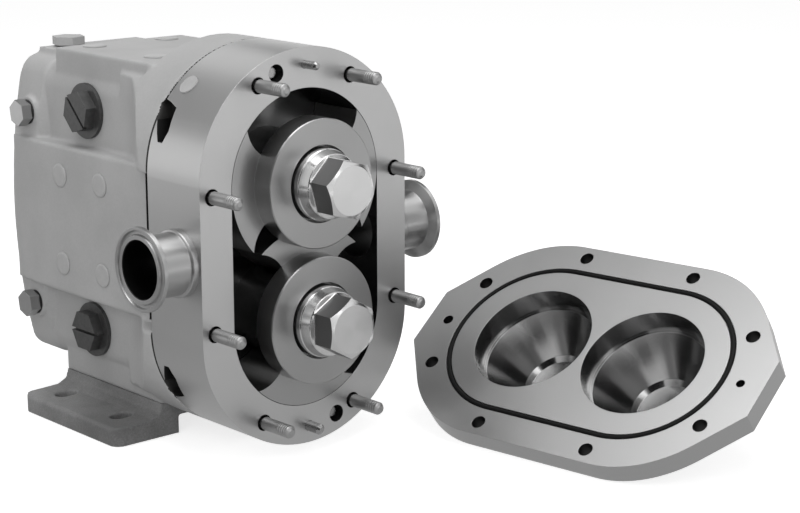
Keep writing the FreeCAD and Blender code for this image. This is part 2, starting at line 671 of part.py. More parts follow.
def make_ports():
    """Clamp ferrules welded to the body's sides, with a collar at the weld."""
    length = ferrule_face - body_half_width
    cone_start = length - ferrule_rim - ferrule_slope
    profile = [
        (0, port_bore), (0, tube_radius + port_collar),
        (port_collar_length, tube_radius + port_collar), (port_collar_length + port_collar, tube_radius),
        (cone_start, tube_radius), (length - ferrule_rim, ferrule_radius - ferrule_slope / 4),
        (length - ferrule_rim + ferrule_slope / 4, ferrule_radius),
        (length - ferrule_slope / 4, ferrule_radius),
        (length, ferrule_radius - ferrule_slope / 4), (length, port_bore),
    ]
    for node, along, side in (("left_port_ferrule", "-X", -1), ("right_port_ferrule", "X", 1)):
        port = turned(node + "_body", profile, body_half_width * side, back(port_depth),
                      centre_height, along)
        keep(port, node)


def make_cover_studs():
    """Studs with a relief groove at the root and a rounded end."""
    tip = stud_radius * 0.45
    profile = [
        (-stud_anchor, 0), (-stud_anchor, stud_radius), (-recess_depth, stud_radius),
        (-recess_depth, stud_neck_radius), (0.8, stud_neck_radius), (1.6, stud_radius),
        (stud_reach - tip, stud_radius), (stud_reach - tip * 0.35, stud_radius * 0.8),
        (stud_reach, stud_radius * 0.4), (stud_reach, 0),
    ]
    studs = [turned("cover_stud%d" % i, profile, x, face, z, "-Y")
             for i, (x, z) in enumerate(stud_places())]
    keep(group("cover_stud_group", studs), "cover_studs")


def make_dowels():
    for node, (x, z), radius in zip(("upper_dowel_pin", "lower_dowel_pin"), dowel_places(),
                                    (upper_dowel_radius, lower_dowel_radius)):
        profile = [(-dowel_anchor, 0), (-dowel_anchor, radius), (dowel_reach - radius / 2, radius),
                   (dowel_reach, radius / 2), (dowel_reach, 0)]
        keep(turned(node + "_body", profile, x, face, z, "-Y"), node)


def make_body_retainers():
    """Long studs from the gear case with round slotted nuts sunk in the body."""
    nut_radius = retainer_bore - 0.4
    nut_length = retainer_depth * 0.55
    stud_start = retainer_depth - nut_length - 3
    stud_length = body_depth - stud_start + retainer_stud_anchor
    studs, nuts = [], []
    for i, (x, z) in enumerate(retainer_places()):
        studs.append(rod("retainer_stud%d" % i, retainer_stud_radius, stud_length, x, back(stud_start), z))
        profile = [(0, retainer_stud_radius + press_gap), (0, nut_radius - 1), (1, nut_radius),
                   (nut_length, nut_radius), (nut_length, retainer_stud_radius + press_gap)]
        nuts.append(turned("retainer_nut%d" % i, profile, x, back(retainer_depth - nut_length), z))
    keep(group("retainer_stud_group", studs), "body_retaining_studs")
    keep(group("retainer_nut_group", nuts), "body_retaining_nuts")


def make_seal_seats():
    """Fixed seal seats in the hubs, against their shoulders."""
    for node, z in (("drive_seal_seat", lower), ("driven_seal_seat", upper)):
        start = seal_shoulder - seat_thick
        profile = [(0, seal_bore_radius + 1), (0, seal_ring_radius), (1.5, seal_ring_radius),
                   (1.5, hub_bore - press_gap), (seat_thick, hub_bore - press_gap),
                   (seat_thick, seal_bore_radius), (1.5, seal_bore_radius)]
        keep(turned(node + "_body", profile, 0, back(start), z), node)


def ease(start, end, low, high, steps=8):
    """Corners of a smooth run from (low, start) to (high, end), level at its ends, steepest early."""
    run = []
    for i in range(steps + 1):
        share = (1 - math.cos(math.pi * (i / steps) ** 0.7)) / 2
        run.append((low + (high - low) * share, start + (end - start) * (i / steps)))
    return run


def make_gear_case():
    """Cast case: front band that draws in to a trunk, pads on four sides and a bowed rear band."""
    band = head_outline("case_band", back(body_depth), case_shoulder - body_depth)
    wide = body_half_width + 0.5
    right = [(wide, back(body_depth - 1))] + ease(
        back(body_depth + band_flat), back(case_shoulder), wide, case_half_width)
    left = [(-x, y) for x, y in reversed(right)]
    slope_sides = prism("case_side_slope", "Z", right + left, 0, centre_height * 2)
    tall = head_half_height + 1
    slope_top = prism("case_top_slope", "X", [
        (back(body_depth - 1), centre_height - tall), (back(flange_back), centre_height - tall),
        (back(flange_back + 4), centre_height - case_half_height),
        (back(case_shoulder), centre_height - case_half_height),
        (back(case_shoulder), centre_height + case_half_height),
        (back(flange_back + 4), centre_height + case_half_height),
        (back(flange_back), centre_height + tall), (back(body_depth - 1), centre_height + tall),
    ], -wide, wide * 2)
    band = common("case_front", [band, slope_sides, slope_top])
    trunk = rounded_bar("case_trunk", case_half_width, case_half_height, case_corner,
                        back(flange_back - trunk_lap), rear_band_start - flange_back + trunk_lap * 2)
    rear = bowed_bar("case_rear", rear_band_half_width, case_half_height, rear_band_corner,
                     back(rear_band_start), case_rear - rear_band_start)
    rear = bevelled("case_rear_slope", rear, rear_band_slope, lies_at("Y", back(rear_band_start)))
    pad_side = [(side_pad_half_width, back(pad_front)), (side_pad_half_width, back(rear_band_start)),
                (side_pad_half_width - 3, case_back - 2)]
    side_pads = prism("case_side_pads", "Z", pad_side + [(-x, y) for x, y in reversed(pad_side)],
                      centre_height - side_pad_half_height, side_pad_half_height * 2)
    end_pads = block("case_end_pads", -top_pad_half_width, top_pad_half_width, back(top_pad_front),
                     back(top_pad_back), centre_height - top_pad_height, centre_height + top_pad_height)
    ledge = block("case_ledge", -ledge_half_width, ledge_half_width, back(top_pad_back - 1),
                  case_back - 2, centre_height, centre_height + ledge_height)
    bosses = []
    for i, (along, side) in enumerate((("X", 1), ("-X", -1))):
        for j, way in enumerate((1, -1)):
            height = centre_height + oil_plug_height * way
            bosses.append(rod("case_boss%d%d" % (i, j), oil_boss_radius, oil_boss_face - case_half_width + 4,
                              (case_half_width - 4) * side, back(oil_plug_depth), height, along))
    casting = fuse("case_casting", [band, trunk, rear, side_pads, end_pads, ledge] + bosses)
    keep(cut("gear_case_solid", casting,
             case_front_tools() + case_inner_tools() + case_plug_tools()), "gear_case")


def case_front_tools():
    """The open space behind the pump body, its side windows, its seam and its pry notches."""
    wide = body_half_width + 5
    tools = [stadium("case_cavity", cavity_radius, back(body_depth), flange_back - body_depth)]
    low, high = centre_height - side_pad_half_height, centre_height + side_pad_half_height
    tools.append(block("case_window", -wide, wide, back(body_depth), back(pad_front), low, high))
    for i, side in enumerate((1, -1)):
        start = side_pad_half_width if side > 0 else -wide
        end = wide if side > 0 else -side_pad_half_width
        tools.append(block("case_relief%d" % i, start, end, back(body_depth), back(case_shoulder),
                           low, high))
    seam = cut("case_seam", stadium("case_seam_outer", body_end_radius + 2, back(body_depth), seam_gap),
               [stadium("case_seam_inner", body_end_radius - seam_depth, back(body_depth), seam_gap)])
    for i, way in enumerate((1, -1)):
        first, last = centre_height + (notch_high - 3) * way, centre_height + (head_half_height + 2) * way
        z_low, z_high = (first, last) if way > 0 else (last, first)
        tools.append(common("case_seam%d" % i, [seam, block(
            "case_seam_reach%d" % i, -wide, wide, back(body_depth), back(body_depth + seam_gap),
            z_low, z_high)]))
    for i, (x, z) in enumerate(retainer_places()):
        tools.append(rod("case_retainer%d" % i, retainer_stud_radius + press_gap,
                         retainer_stud_anchor, x, back(body_depth), z))
    tools.append(block("case_foot_room", -wide, wide, -foot_half_length - 0.3, foot_half_length + 1,
                       0, centre_height - top_pad_height))
    return tools + notch_tools("case")


def case_inner_tools():
    """Bearing bores, the sump between them and the room for the timing gears."""
    tools = [
        stadium("case_sump", sump_radius, back(sump_front), sump_back - sump_front),
        stadium("case_gear_room", gear_room_radius, back(gear_room_front), case_rear - gear_room_front),
    ]
    for i, z in enumerate((lower, upper)):
        tools.append(rod("case_bearing_line%d" % i, cup_radius + press_gap,
                         gear_room_front - flange_back, 0, back(flange_back), z))
        for j in range(4):
            x, height = on_circle(screw_circle, 45 + 90 * j, z)
            tools.append(rod("case_screw%d%d" % (i, j), screw_radius + press_gap, 8, x,
                             back(flange_back), height))
    for i, (x, z) in enumerate(cover_bolt_places()):
        tools.append(rod("case_cover_tap%d" % i, cover_bolt_radius + press_gap, cover_tap_depth, x,
                         case_back - cover_tap_depth, z))
    return tools


def case_plug_tools():
    """Threaded holes for the plugs, the breather and the foot bolts."""
    tools = []
    for i, (x, y, z, along) in enumerate(pad_plug_places() + foot_bolt_places()):
        tools.append(rod("case_pad_hole%d" % i, mount_hole_radius + press_gap, mount_hole_depth,
                         x, y, z, along))
    for i, (x, y, z, along) in enumerate(cleanout_places() + oil_plug_places()):
        radius = (cleanout_bore if i < 4 else oil_stem) + press_gap
        tools.append(rod("case_plug_hole%d" % i, radius, plug_hole_depth, x, y, z, along))
    tools.append(rod("case_breather_hole", breather_stem + press_gap, plug_hole_depth,
                     -breather_x, back(breather_depth), centre_height + ledge_height, "-Z"))
    return tools


def cover_bolt_places():
    """Four bolts at the rear cover's corners and two at half height."""
    height = cover_half_height - cover_bolt_inset
    corners = [(cover_bolt_x * side, centre_height + height * way)
               for side in (1, -1) for way in (1, -1)]
    return corners + [(cover_bolt_middle * side, centre_height) for side in (1, -1)]


def pad_plug_places():
    """Spare mounting holes: four on each side pad and four on the top pad, bored inwards."""
    places = []
    for side, along in ((1, "-X"), (-1, "X")):
        for depth in (side_plug_front, side_plug_back):
            for way in (1, -1):
                places.append((side_pad_half_width * side, back(depth),
                               centre_height + side_plug_low * way, along))
    for depth in (top_hole_front, top_hole_back):
        for side in (1, -1):
            places.append((top_hole_half * side, back(depth), centre_height + top_pad_height, "-Z"))
    return places


def foot_bolt_places():
    return [(top_hole_half * side, back(depth), centre_height - top_pad_height, "Z")
            for depth in (top_hole_front, top_hole_back) for side in (1, -1)]


def cleanout_places():
    return [(case_half_width * side, back(cleanout_depth), centre_height + cleanout_height * way, along)
            for side, along in ((1, "-X"), (-1, "X")) for way in (1, -1)]


def oil_plug_places():
    return [(oil_boss_face * side, back(oil_plug_depth), centre_height + oil_plug_height * way, along)
            for side, along in ((1, "-X"), (-1, "X")) for way in (1, -1)]


def opposite(along):
    return along[1:] if along.startswith("-") else "-" + along


def make_pad_plugs():
    """Push-in plugs: a thin domed disc over a short stem."""
    profile = [(-mount_hole_depth + 1, 0), (-mount_hole_depth + 1, mount_hole_radius),
               (0, mount_hole_radius), (0, pad_plug_radius), (pad_plug_proud * 0.5, pad_plug_radius),
               (pad_plug_proud, pad_plug_radius - 1.2), (pad_plug_proud, 0)]
    plugs = [turned("pad_plug%d" % i, profile, x, y, z, opposite(along))
             for i, (x, y, z, along) in enumerate(pad_plug_places())]
    keep(group("side_plug_group", plugs[:8]), "side_pad_plugs")
    keep(group("top_plug_group", plugs[8:]), "top_pad_plugs")


def slotted_plug(name, x, y, z, along, turn):
    """A flanged hexagon plug with a driver slot across its face."""
    outwards = opposite(along)
    sign = -1 if outwards.startswith("-") else 1
    stem = rod(name + "_stem", cleanout_bore, plug_stem_length, x, y, z, along)
    flange = rod(name + "_flange", cleanout_flange, cleanout_flange_thick, x, y, z, outwards)
    head = hexagon(name + "_hex", cleanout_hex, cleanout_flange_thick + cleanout_hex_thick, x, y, z,
                   outwards, turn)
    reach = cleanout_flange_thick + cleanout_hex_thick - slot_depth
    slot = doc.addObject("Part::Box", name + "_slot")
    bind(slot, "Length", cleanout_hex * 2)
    bind(slot, "Width", slot_width)
    bind(slot, "Height", slot_depth + 1)
    rotation = heading(outwards) * Rotation(Vector(0, 0, 1), float(turn))
    slot.Placement = Placement(Vector(0, 0, 0), rotation)
    corner = rotation.multVec(Vector(-float(cleanout_hex), -float(slot_width) / 2, 0))
    move(slot, x + reach * sign + corner.x, y + corner.y, z + corner.z, rotation)
    return cut(name, fuse(name + "_blank", [stem, flange, head]), [slot])


def make_cleanout_plugs():
    turns = (45, 90, 45, 90)
    plugs = [slotted_plug("cleanout%d" % i, x, y, z, along, turns[i])
             for i, (x, y, z, along) in enumerate(cleanout_places())]
    keep(group("cleanout_group", plugs), "slotted_cleanout_plugs")


def make_oil_plugs():
    plugs, rings = [], []
    for i, (x, y, z, along) in enumerate(oil_plug_places()):
        outwards = opposite(along)
        sign = -1 if outwards.startswith("-") else 1
        profile = [(0, oil_stem + press_gap), (0, oil_boss_radius - 2.2),
                   (oil_seal_thick, oil_boss_radius - 2.2), (oil_seal_thick, oil_stem + press_gap)]
        rings.append(turned("oil_ring%d" % i, profile, x, y, z, outwards))
        stem = rod("oil_stem%d" % i, oil_stem, plug_stem_length, x, y, z, along)
        neck = rod("oil_neck%d" % i, oil_stem, oil_seal_thick, x, y, z, outwards)
        head = hexagon("oil_hex%d" % i, oil_hex, oil_hex_thick, x + oil_seal_thick * sign, y, z,
                       outwards, 10)
        plugs.append(fuse("oil_plug%d" % i, [stem, neck, head]))
    keep(group("oil_plug_group", plugs), "oil_level_plugs")
    keep(group("oil_ring_group", rings), "oil_plug_seals")


def make_breather():
    top = centre_height + ledge_height
    stem = rod("breather_neck", breather_stem, plug_stem_length + breather_lift, -breather_x,
               back(breather_depth), top + breather_lift, "-Z")
    head = hexagon("breather_head", breather_hex, breather_thick, -breather_x, back(breather_depth),
                   top + breather_lift, "Z", 12)
    keep(fuse("breather_solid", [stem, head]), "breather_plug")


def make_rear_cover():
    """Cast rear cover: pockets for the lock nuts and a boss round the drive shaft's seal."""
    plate = bowed_bar("rear_plate", cover_half_width, cover_half_height, cover_corner, case_back,
                      rear_cover_thick)
    plate = rounded("rear_plate_round", plate, edge_round, lies_at("Y", cover_back))
    boss = rod("rear_boss", rear_boss_radius, boss_back - case_back, 0, case_back, lower)
    boss = bevelled("rear_boss_edge", boss, 1.5, lies_at("Y", boss_back))
    plate = fuse("rear_blank", [plate, boss])
    tools = []
    for i, z in enumerate((lower, upper)):
        tools.append(rod("rear_pocket%d" % i, rear_pocket_radius, rear_pocket_depth, 0, case_back, z))
    tools.append(rod("rear_seal_bore", rear_seal_radius + press_gap, boss_back - case_back, 0,
                     case_back, lower))
    for i, (x, z) in enumerate(cover_bolt_places()):
        tools.append(turned("rear_bolt_hole%d" % i, sunk_screw(press_gap), x, cover_back, z, "-Y"))
    keep(cut("rear_cover_solid", plate, tools), "rear_cover")


def sunk_screw(spare):
    """Profile of a countersunk screw from its flat head down."""
    return [(0, 0), (0, cover_bolt_head + spare), (cover_bolt_sink, cover_bolt_radius + spare),
            (cover_bolt_length, cover_bolt_radius + spare), (cover_bolt_length, 0)]


def make_rear_cover_bolts():
    """Countersunk screws with hexagon sockets, flush with the rear cover."""
    bolts = []
    for i, (x, z) in enumerate(cover_bolt_places()):
        screw = turned("rear_screw%d" % i, sunk_screw(0), x, cover_back, z, "-Y")
        socket = hexagon("rear_socket%d" % i, cover_bolt_socket, 2, x, cover_back - 2, z, "Y", 15)
        bolts.append(cut("rear_bolt%d" % i, screw, [socket]))
    keep(group("rear_bolt_group", bolts), "rear_cover_bolts")


def lip_seal(node, inner, outer, width, y, z):
    """A lip seal: outer case, web and a thin lip round the shaft."""
    lip = inner + running_gap
    profile = [(0, lip + 1.5), (0, outer), (width, outer), (width, outer - 1.5), (2, outer - 1.5),
               (2, lip + 1.5), (4, lip + 1.2), (4, lip), (1, lip)]
    keep(turned(node + "_body", profile, 0, y, z), node)


def make_foot():
    """Cast foot: a flanged base with slots and a neck up to the case's bottom pad."""
    top = centre_height - top_pad_height
    y_front = -foot_half_length
    profile = [
        (-foot_half_width, 0), (foot_half_width, 0), (foot_half_width, foot_thick - 1.5),
        (foot_half_width - 2, foot_thick), (foot_neck_root, foot_thick + 1),
        (foot_neck_half + 2, foot_thick + 4),
        (foot_neck_half, top), (-foot_neck_half, top), (-foot_neck_half - 2, foot_thick + 4),
        (-foot_neck_root, foot_thick + 1), (-foot_half_width + 2, foot_thick),
        (-foot_half_width, foot_thick - 1.5),
    ]
    base = prism("foot_casting", "-Y", profile, foot_half_length, foot_half_length * 2)
    half_width = float(foot_half_width) - 0.01

    def outer_corner(edge):
        return runs_along("z")(edge) and abs(edge.BoundBox.XMin) > half_width
    base = rounded("foot_rounded", base, foot_corner, outer_corner)
    tools = [block("foot_hollow", -foot_relief_half, foot_relief_half, y_front, foot_half_length,
                   0, foot_relief_depth)]
    for i, (x, y) in enumerate(foot_slot_places()):
        half = foot_slot_length / 2 - foot_slot_radius
        ends = [rod("foot_slot_end%d%d" % (i, j), foot_slot_radius, foot_thick + 6, x + half * side, y,
                    0, "Z") for j, side in enumerate((1, -1))]
        middle = block("foot_slot_mid%d" % i, x - half, x + half, y - foot_slot_radius,
                       y + foot_slot_radius, 0, foot_thick + 6)
        tools.append(fuse("foot_slot%d" % i, ends + [middle]))
    for i, (x, y, z, along) in enumerate(foot_bolt_places()):
        tools.append(rod("foot_bolt_hole%d" % i, foot_bolt_radius + press_gap, z, x, y, 0, "Z"))
    keep(cut("foot_solid", base, tools), "mounting_foot")


def foot_slot_places():
    return [(foot_slot_x * side, foot_slot_y * way) for side in (1, -1) for way in (1, -1)]


def make_foot_bolts():
    """Bolts up through the foot, their heads in the hollow underneath."""
    bolts = []
    length = centre_height - top_pad_height - foot_relief_depth + mount_hole_depth - 1
    for i, (x, y, z, along) in enumerate(foot_bolt_places()):
        shank = rod("foot_shank%d" % i, foot_bolt_radius, length, x, y, foot_relief_depth, "Z")
        head = hexagon("foot_head%d" % i, foot_bolt_head, foot_bolt_head_thick, x, y,
                       foot_relief_depth, "-Z", 15)
        bolts.append(fuse("foot_bolt%d" % i, [shank, head]))
    keep(group("foot_bolt_group", bolts), "foot_bolts")


def make_front_retainers():
    """Round plates that hold the front bearings, each with a lip seal and four screws."""
    thick = flange_back - retainer_plate_start
    screws = []
    for node, z in (("drive", lower), ("driven", upper)):
        lip_room = lip_journal + 3.5
        profile = [(0, lip_seal_radius + press_gap), (0, retainer_plate_radius - 2),
                   (2, retainer_plate_radius), (thick, retainer_plate_radius), (thick, lip_room),
                   (thick - 2, lip_room), (thick - 2, lip_seal_radius + press_gap)]
        plate = turned(node + "_plate", profile, 0, back(retainer_plate_start), z)
        holes = []
        for j in range(4):
            x, height = on_circle(screw_circle, 45 + 90 * j, z)
            y = back(retainer_plate_start)
            holes.append(rod("%s_hole%d" % (node, j), screw_radius + press_gap, thick, x, y, height))
            shank = rod("%s_screw_shank%d" % (node, j), screw_radius, thick + 6, x, y, height)
            head = rod("%s_screw_head%d" % (node, j), screw_head, 2.5, x, y, height, "-Y")
            screws.append(fuse("%s_screw%d" % (node, j), [shank, head]))
        keep(cut(node + "_retainer", plate, holes), node + "_bearing_retainer")
        lip_seal(node + "_front_lip_seal", lip_journal, lip_seal_radius, lip_seal_width,
                 back(flange_back - 2 - lip_seal_width), z)
    keep(group("screw_group", screws), "retainer_screws")


def make_bearing_cups():
    for node, z in (("drive", lower), ("driven", upper)):
        for end, start in (("front", bearing_front), ("rear", bearing_rear)):
            profile = [(0, cup_track), (0, cup_radius), (bearing_width, cup_radius),
                       (bearing_width, cup_track)]
            name = "%s_%s_bearing_cup" % (node, end)
            keep(turned(name + "_body", profile, 0, back(start), z), name)


def make_shaft(node, z, end, has_extension):
    """A stepped shaft from the rotor nut's thread back to the timing gear and beyond."""
    gear_end = gear_start + gear_width
    steps = [
        (-thread_reach, 0), (-thread_reach, thread_radius - end_chamfer),
        (end_chamfer - thread_reach, thread_radius), (-recess_floor, thread_radius),
        (-recess_floor, nose_radius), (rotor_hub_length, nose_radius), (rotor_hub_length, seal_journal),
        (lip_journal_start, seal_journal), (lip_journal_start, lip_journal),
        (bearing_front - 2, lip_journal), (bearing_front - 2, thrust_radius),
        (bearing_front, thrust_radius), (bearing_front, bearing_seat), (gear_start, bearing_seat),
        (gear_start, gear_seat), (gear_end, gear_seat), (gear_end, lock_thread),
    ]
    if has_extension:
        thread_end = gear_end + lock_nut_width + 2
        steps += [(thread_end, lock_thread), (thread_end, rear_journal), (extension_start, rear_journal),
                  (extension_start, coupling_radius), (end - end_chamfer, coupling_radius),
                  (end, coupling_radius - end_chamfer), (end, 0)]
    else:
        steps += [(end - end_chamfer, lock_thread), (end, lock_thread - end_chamfer), (end, 0)]
    blank = turned(node + "_shaft_blank", steps, 0, face, z)
    tools = [gear_keyway(node, z)]
    if has_extension:
        half = coupling_key / 2
        tools.append(block(node + "_keyway", -half, half, back(coupling_key_start),
                           back(coupling_key_start + coupling_key_length),
                           z + coupling_radius - half, z + coupling_radius + half))
    keep(cut(node + "_shaft_solid", blank, tools), node + "_shaft")


def gear_keyway(node, z):
    half = gear_key / 2
    start = gear_start + (gear_width - gear_key_length) / 2
    return block(node + "_gear_keyway", -half, half, back(start), back(start + gear_key_length),
                 z + gear_seat - half, z + gear_seat + half)


def make_key(node, z):
    """The square key of a timing gear."""
    half = gear_key / 2 - press_gap
    start = gear_start + (gear_width - gear_key_length) / 2 + press_gap
    end = start + gear_key_length - press_gap * 2
    key = block(node + "_gear_key_solid", -half, half, back(start), back(end),
                z + gear_seat - gear_key / 2, z + gear_seat + half)
    keep(key, node + "_gear_key")


def make_rotor(node, z, turn):
    """A barrel with a nut recess and two wings that run round the fixed hub."""
    profile = [
        (-disc_reach + 0.6, disc_radius), (0, disc_radius), (0, rotor_hub_radius),
        (rotor_hub_length, rotor_hub_radius), (rotor_hub_length, nose_radius + press_gap),
        (-recess_floor, nose_radius + press_gap), (-recess_floor, recess_bore),
        (-disc_reach, recess_bore), (-disc_reach, disc_radius - 0.6),
    ]
    barrel = turned(node + "_barrel", profile, 0, face, z)
    wing_depth = chamber_depth - face_gap
    sleeve = cut(node + "_sleeve", rod(node + "_outer", wing_radius, wing_depth, 0, face, z),
                 [rod(node + "_inner", wing_bore, wing_depth, 0, face, z)])
    tip_x, tip_z = cosine(wing_tip_angle) * wing_radius, sine(wing_tip_angle) * wing_radius
    waist_x, waist_z = cosine(wing_waist_angle) * disc_radius, sine(wing_waist_angle) * disc_radius
    run_x, run_z = tip_x - waist_x, tip_z - waist_z
    far = [(waist_x - run_x * 1.3, waist_z - run_z * 1.3), (tip_x + run_x, tip_z + run_z)]
    wedge = prism(node + "_wedge", "-Y", [
        far[0], (far[0][0], -far[0][1]), (far[1][0], -far[1][1]), far[1],
    ], face + wing_depth, wing_depth)
    chord = math.hypot(float(run_x), float(run_z))
    scoop_radius = (chord * chord / 4 + float(wing_scoop) ** 2) / (2 * float(wing_scoop))
    reach = (scoop_radius - float(wing_scoop)) / chord
    scoops = []
    for i, side in enumerate((1, -1)):
        x = (tip_x + waist_x) / 2 - run_z * reach
        height = (tip_z + waist_z) / 2 + run_x * reach
        scoops.append(rod("%s_scoop%d" % (node, i), scoop_radius, wing_depth, x, face, height * side))
    wing = cut(node + "_wing", wedge, scoops)
    wings = []
    for i in range(2):
        copy = doc.addObject("Part::Feature", "%s_wing_copy%d" % (node, i))
        doc.recompute()
        copy.Shape = wing.Shape.copy()
        swing = Rotation(Vector(0, -1, 0), float(turn) + 180 * i)
        copy.Placement = Placement(Vector(0, 0, float(z)), swing)
        wings.append(copy)
    blades = common(node + "_blades", [sleeve, fuse(node + "_wing_pair", wings)])
    keep(fuse(node + "_rotor_solid", [barrel, blades]), node + "_rotor")


def make_rotor_nut(node, z, turn):
    """A capped hexagon nut on a broad collar, with its disc spring and seal ring."""
    seat = recess_floor + washer_thick
    cap = 1.5
    collar = turned(node + "_nut_collar", [
        (seat, thread_radius + press_gap), (seat, collar_radius), (collar_front, collar_radius),
        (collar_front + 2, collar_radius - 0.6), (hex_start, hex_radius * 0.9),
        (hex_start, thread_radius + press_gap),
    ], 0, face, z, "-Y")
    hexes = hexagon(node + "_nut_hex", hex_radius, nut_face - collar_front - 1, 0,
                    face - nut_face, z, "Y", turn)
    envelope = turned(node + "_nut_envelope", [
        (collar_front, 0), (collar_front, hex_radius + 1), (nut_face - nut_chamfer, hex_radius + 1),
        (nut_face - nut_chamfer, hex_radius), (nut_face, hex_radius * 0.866), (nut_face, 0),
    ], 0, face, z, "-Y")
    crown = common(node + "_nut_crown", [hexes, envelope])
    bore = rod(node + "_nut_bore", thread_radius + press_gap, thread_reach + cap - seat, 0,
               face - thread_reach - cap, z)
    keep(cut(node + "_nut_solid", fuse(node + "_nut_blank", [collar, crown]), [bore]),
         node + "_rotor_nut")
    spring = [(recess_floor, nose_radius + 1), (recess_floor, collar_radius - 4),
              (recess_floor + washer_thick, collar_radius - 1),
              (recess_floor + washer_thick, nose_radius + 4)]
    keep(turned(node + "_washer_body", spring, 0, face, z, "-Y"), node + "_nut_disc_spring")


def make_rotor_seal(node, z):
    """The turning seal ring between the rotor hub and the fixed seat, and its O-ring."""
    end = seal_shoulder - seat_thick - running_gap
    profile = [
        (rotor_hub_length, seal_journal + running_gap), (rotor_hub_length, seal_ring_radius),
        (end, seal_ring_radius), (end, seal_journal + 1.6), (end - 3.5, seal_journal + 1.6),
        (end - 3.5, seal_journal + running_gap),
    ]
    keep(turned(node + "_ring_body", profile, 0, face, z), node + "_seal_ring")


def make_slinger(node, z):
    start = lip_journal_start - slinger_width
    profile = [(0, seal_journal + press_gap), (0, slinger_radius - 6), (slinger_width - 2, slinger_radius),
               (slinger_width, slinger_radius), (slinger_width, seal_journal + press_gap)]
    keep(turned(node + "_slinger_body", profile, 0, back(start), z), node + "_slinger")


def make_bearing_cones(node, z):
    """Inner rings with two ribs and their rollers, which ride between the ribs."""
    for end, start in (("front", bearing_front), ("rear", bearing_rear)):
        rib = cone_radius + cone_rib
        bore = bearing_seat + press_gap
        profile = [(0, bore), (0, rib), (2, rib), (2, cone_radius), (bearing_width - 2, cone_radius),
                   (bearing_width - 2, rib), (bearing_width, rib), (bearing_width, bore)]
        name = "%s_%s_bearing_cone" % (node, end)
        pieces = [turned(name + "_ring", profile, 0, back(start), z)]
        pitch = cone_radius + roller_radius + running_gap
        for i in range(roller_count):
            x, height = on_circle(pitch, 360 / roller_count * i, z)
            pieces.append(rod("%s_roller%d" % (name, i), roller_radius, bearing_width - 4.4, x,
                              back(start + 2.2), height))
        keep(group(name + "_group", pieces), name)


def make_spacer(node, z):
    start = bearing_front + bearing_width
    profile = [(0, bearing_seat + press_gap), (0, spacer_radius), (bearing_rear - start, spacer_radius),
               (bearing_rear - start, bearing_seat + press_gap)]
    keep(turned(node + "_spacer_body", profile, 0, back(start), z), node + "_bearing_spacer")


def involute_flank(base, radius, count):
    """Points on one flank, from the root side out, as (radius, angle from the base)."""
    flank = []
    top = math.sqrt(max((radius / base) ** 2 - 1, 0))
    for step in range(count):
        roll = top * step / (count - 1)
        flank.append((base * math.sqrt(1 + roll * roll), roll - math.atan(roll)))
    return flank


def gear_outline(pitch_radius, teeth, backlash, half_turn):
    """A spur gear's outline, with involute flanks at 20 degrees."""
    module = 2 * pitch_radius / teeth
    tip, root = pitch_radius + 0.95 * module, pitch_radius - 1.25 * module
    base = pitch_radius * math.cos(math.radians(20))
    tilt = math.tan(math.radians(20)) - math.radians(20)
    half_tooth = math.pi / (2 * teeth) - backlash / (2 * pitch_radius) + tilt
    flank = involute_flank(base, tip, 4)
    points = []
    for tooth in range(teeth):
        middle = 2 * math.pi * (tooth + half_turn) / teeth
        rising = [(root, -half_tooth)] + [(r, -half_tooth + a) for r, a in flank]
        falling = [(r, -a) for r, a in reversed(rising)]
        for radius, angle in rising + falling:
            points.append(Vector(radius * math.cos(middle + angle), 0, radius * math.sin(middle + angle)))
    return points


def make_timing_gear(node, z, half_turn):
    """A keyed spur gear. Both have the same teeth, so the shafts turn one to one."""
    pitch = float(shaft_offset)
    points = gear_outline(pitch, gear_teeth, float(gear_backlash), half_turn)
    wire = Part.makePolygon(points + points[:1])
    blank = Part.Face(wire).extrude(Vector(0, float(gear_width), 0))
    gear = doc.addObject("Part::Feature", node + "_teeth")
    gear.Shape = blank
    gear.Placement = Placement(Vector(0, float(back(gear_start)), float(z)), Rotation())
    bore = rod(node + "_gear_bore", gear_seat + press_gap, gear_width, 0, back(gear_start), z)
    half = gear_key / 2
    slot = block(node + "_gear_slot", -half, half, back(gear_start), back(gear_start + gear_width),
                 z, z + gear_seat + half)
    web = turned(node + "_gear_web", [
        (0, gear_hub_radius), (0, pitch - 8), (4, pitch - 9), (4, gear_hub_radius + 1)],
        0, back(gear_start + gear_width), z, "-Y")
    keep(cut(node + "_gear_solid", gear, [bore, slot, web]), node + "_timing_gear")
    nut = [(0, lock_thread + press_gap), (0, lock_nut_radius), (lock_nut_width - 1.5, lock_nut_radius),
           (lock_nut_width, lock_nut_radius - 1.5), (lock_nut_width, lock_thread + press_gap)]
    keep(turned(node + "_lock_nut_body", nut, 0, back(gear_start + gear_width), z),
         node + "_gear_lock_nut")


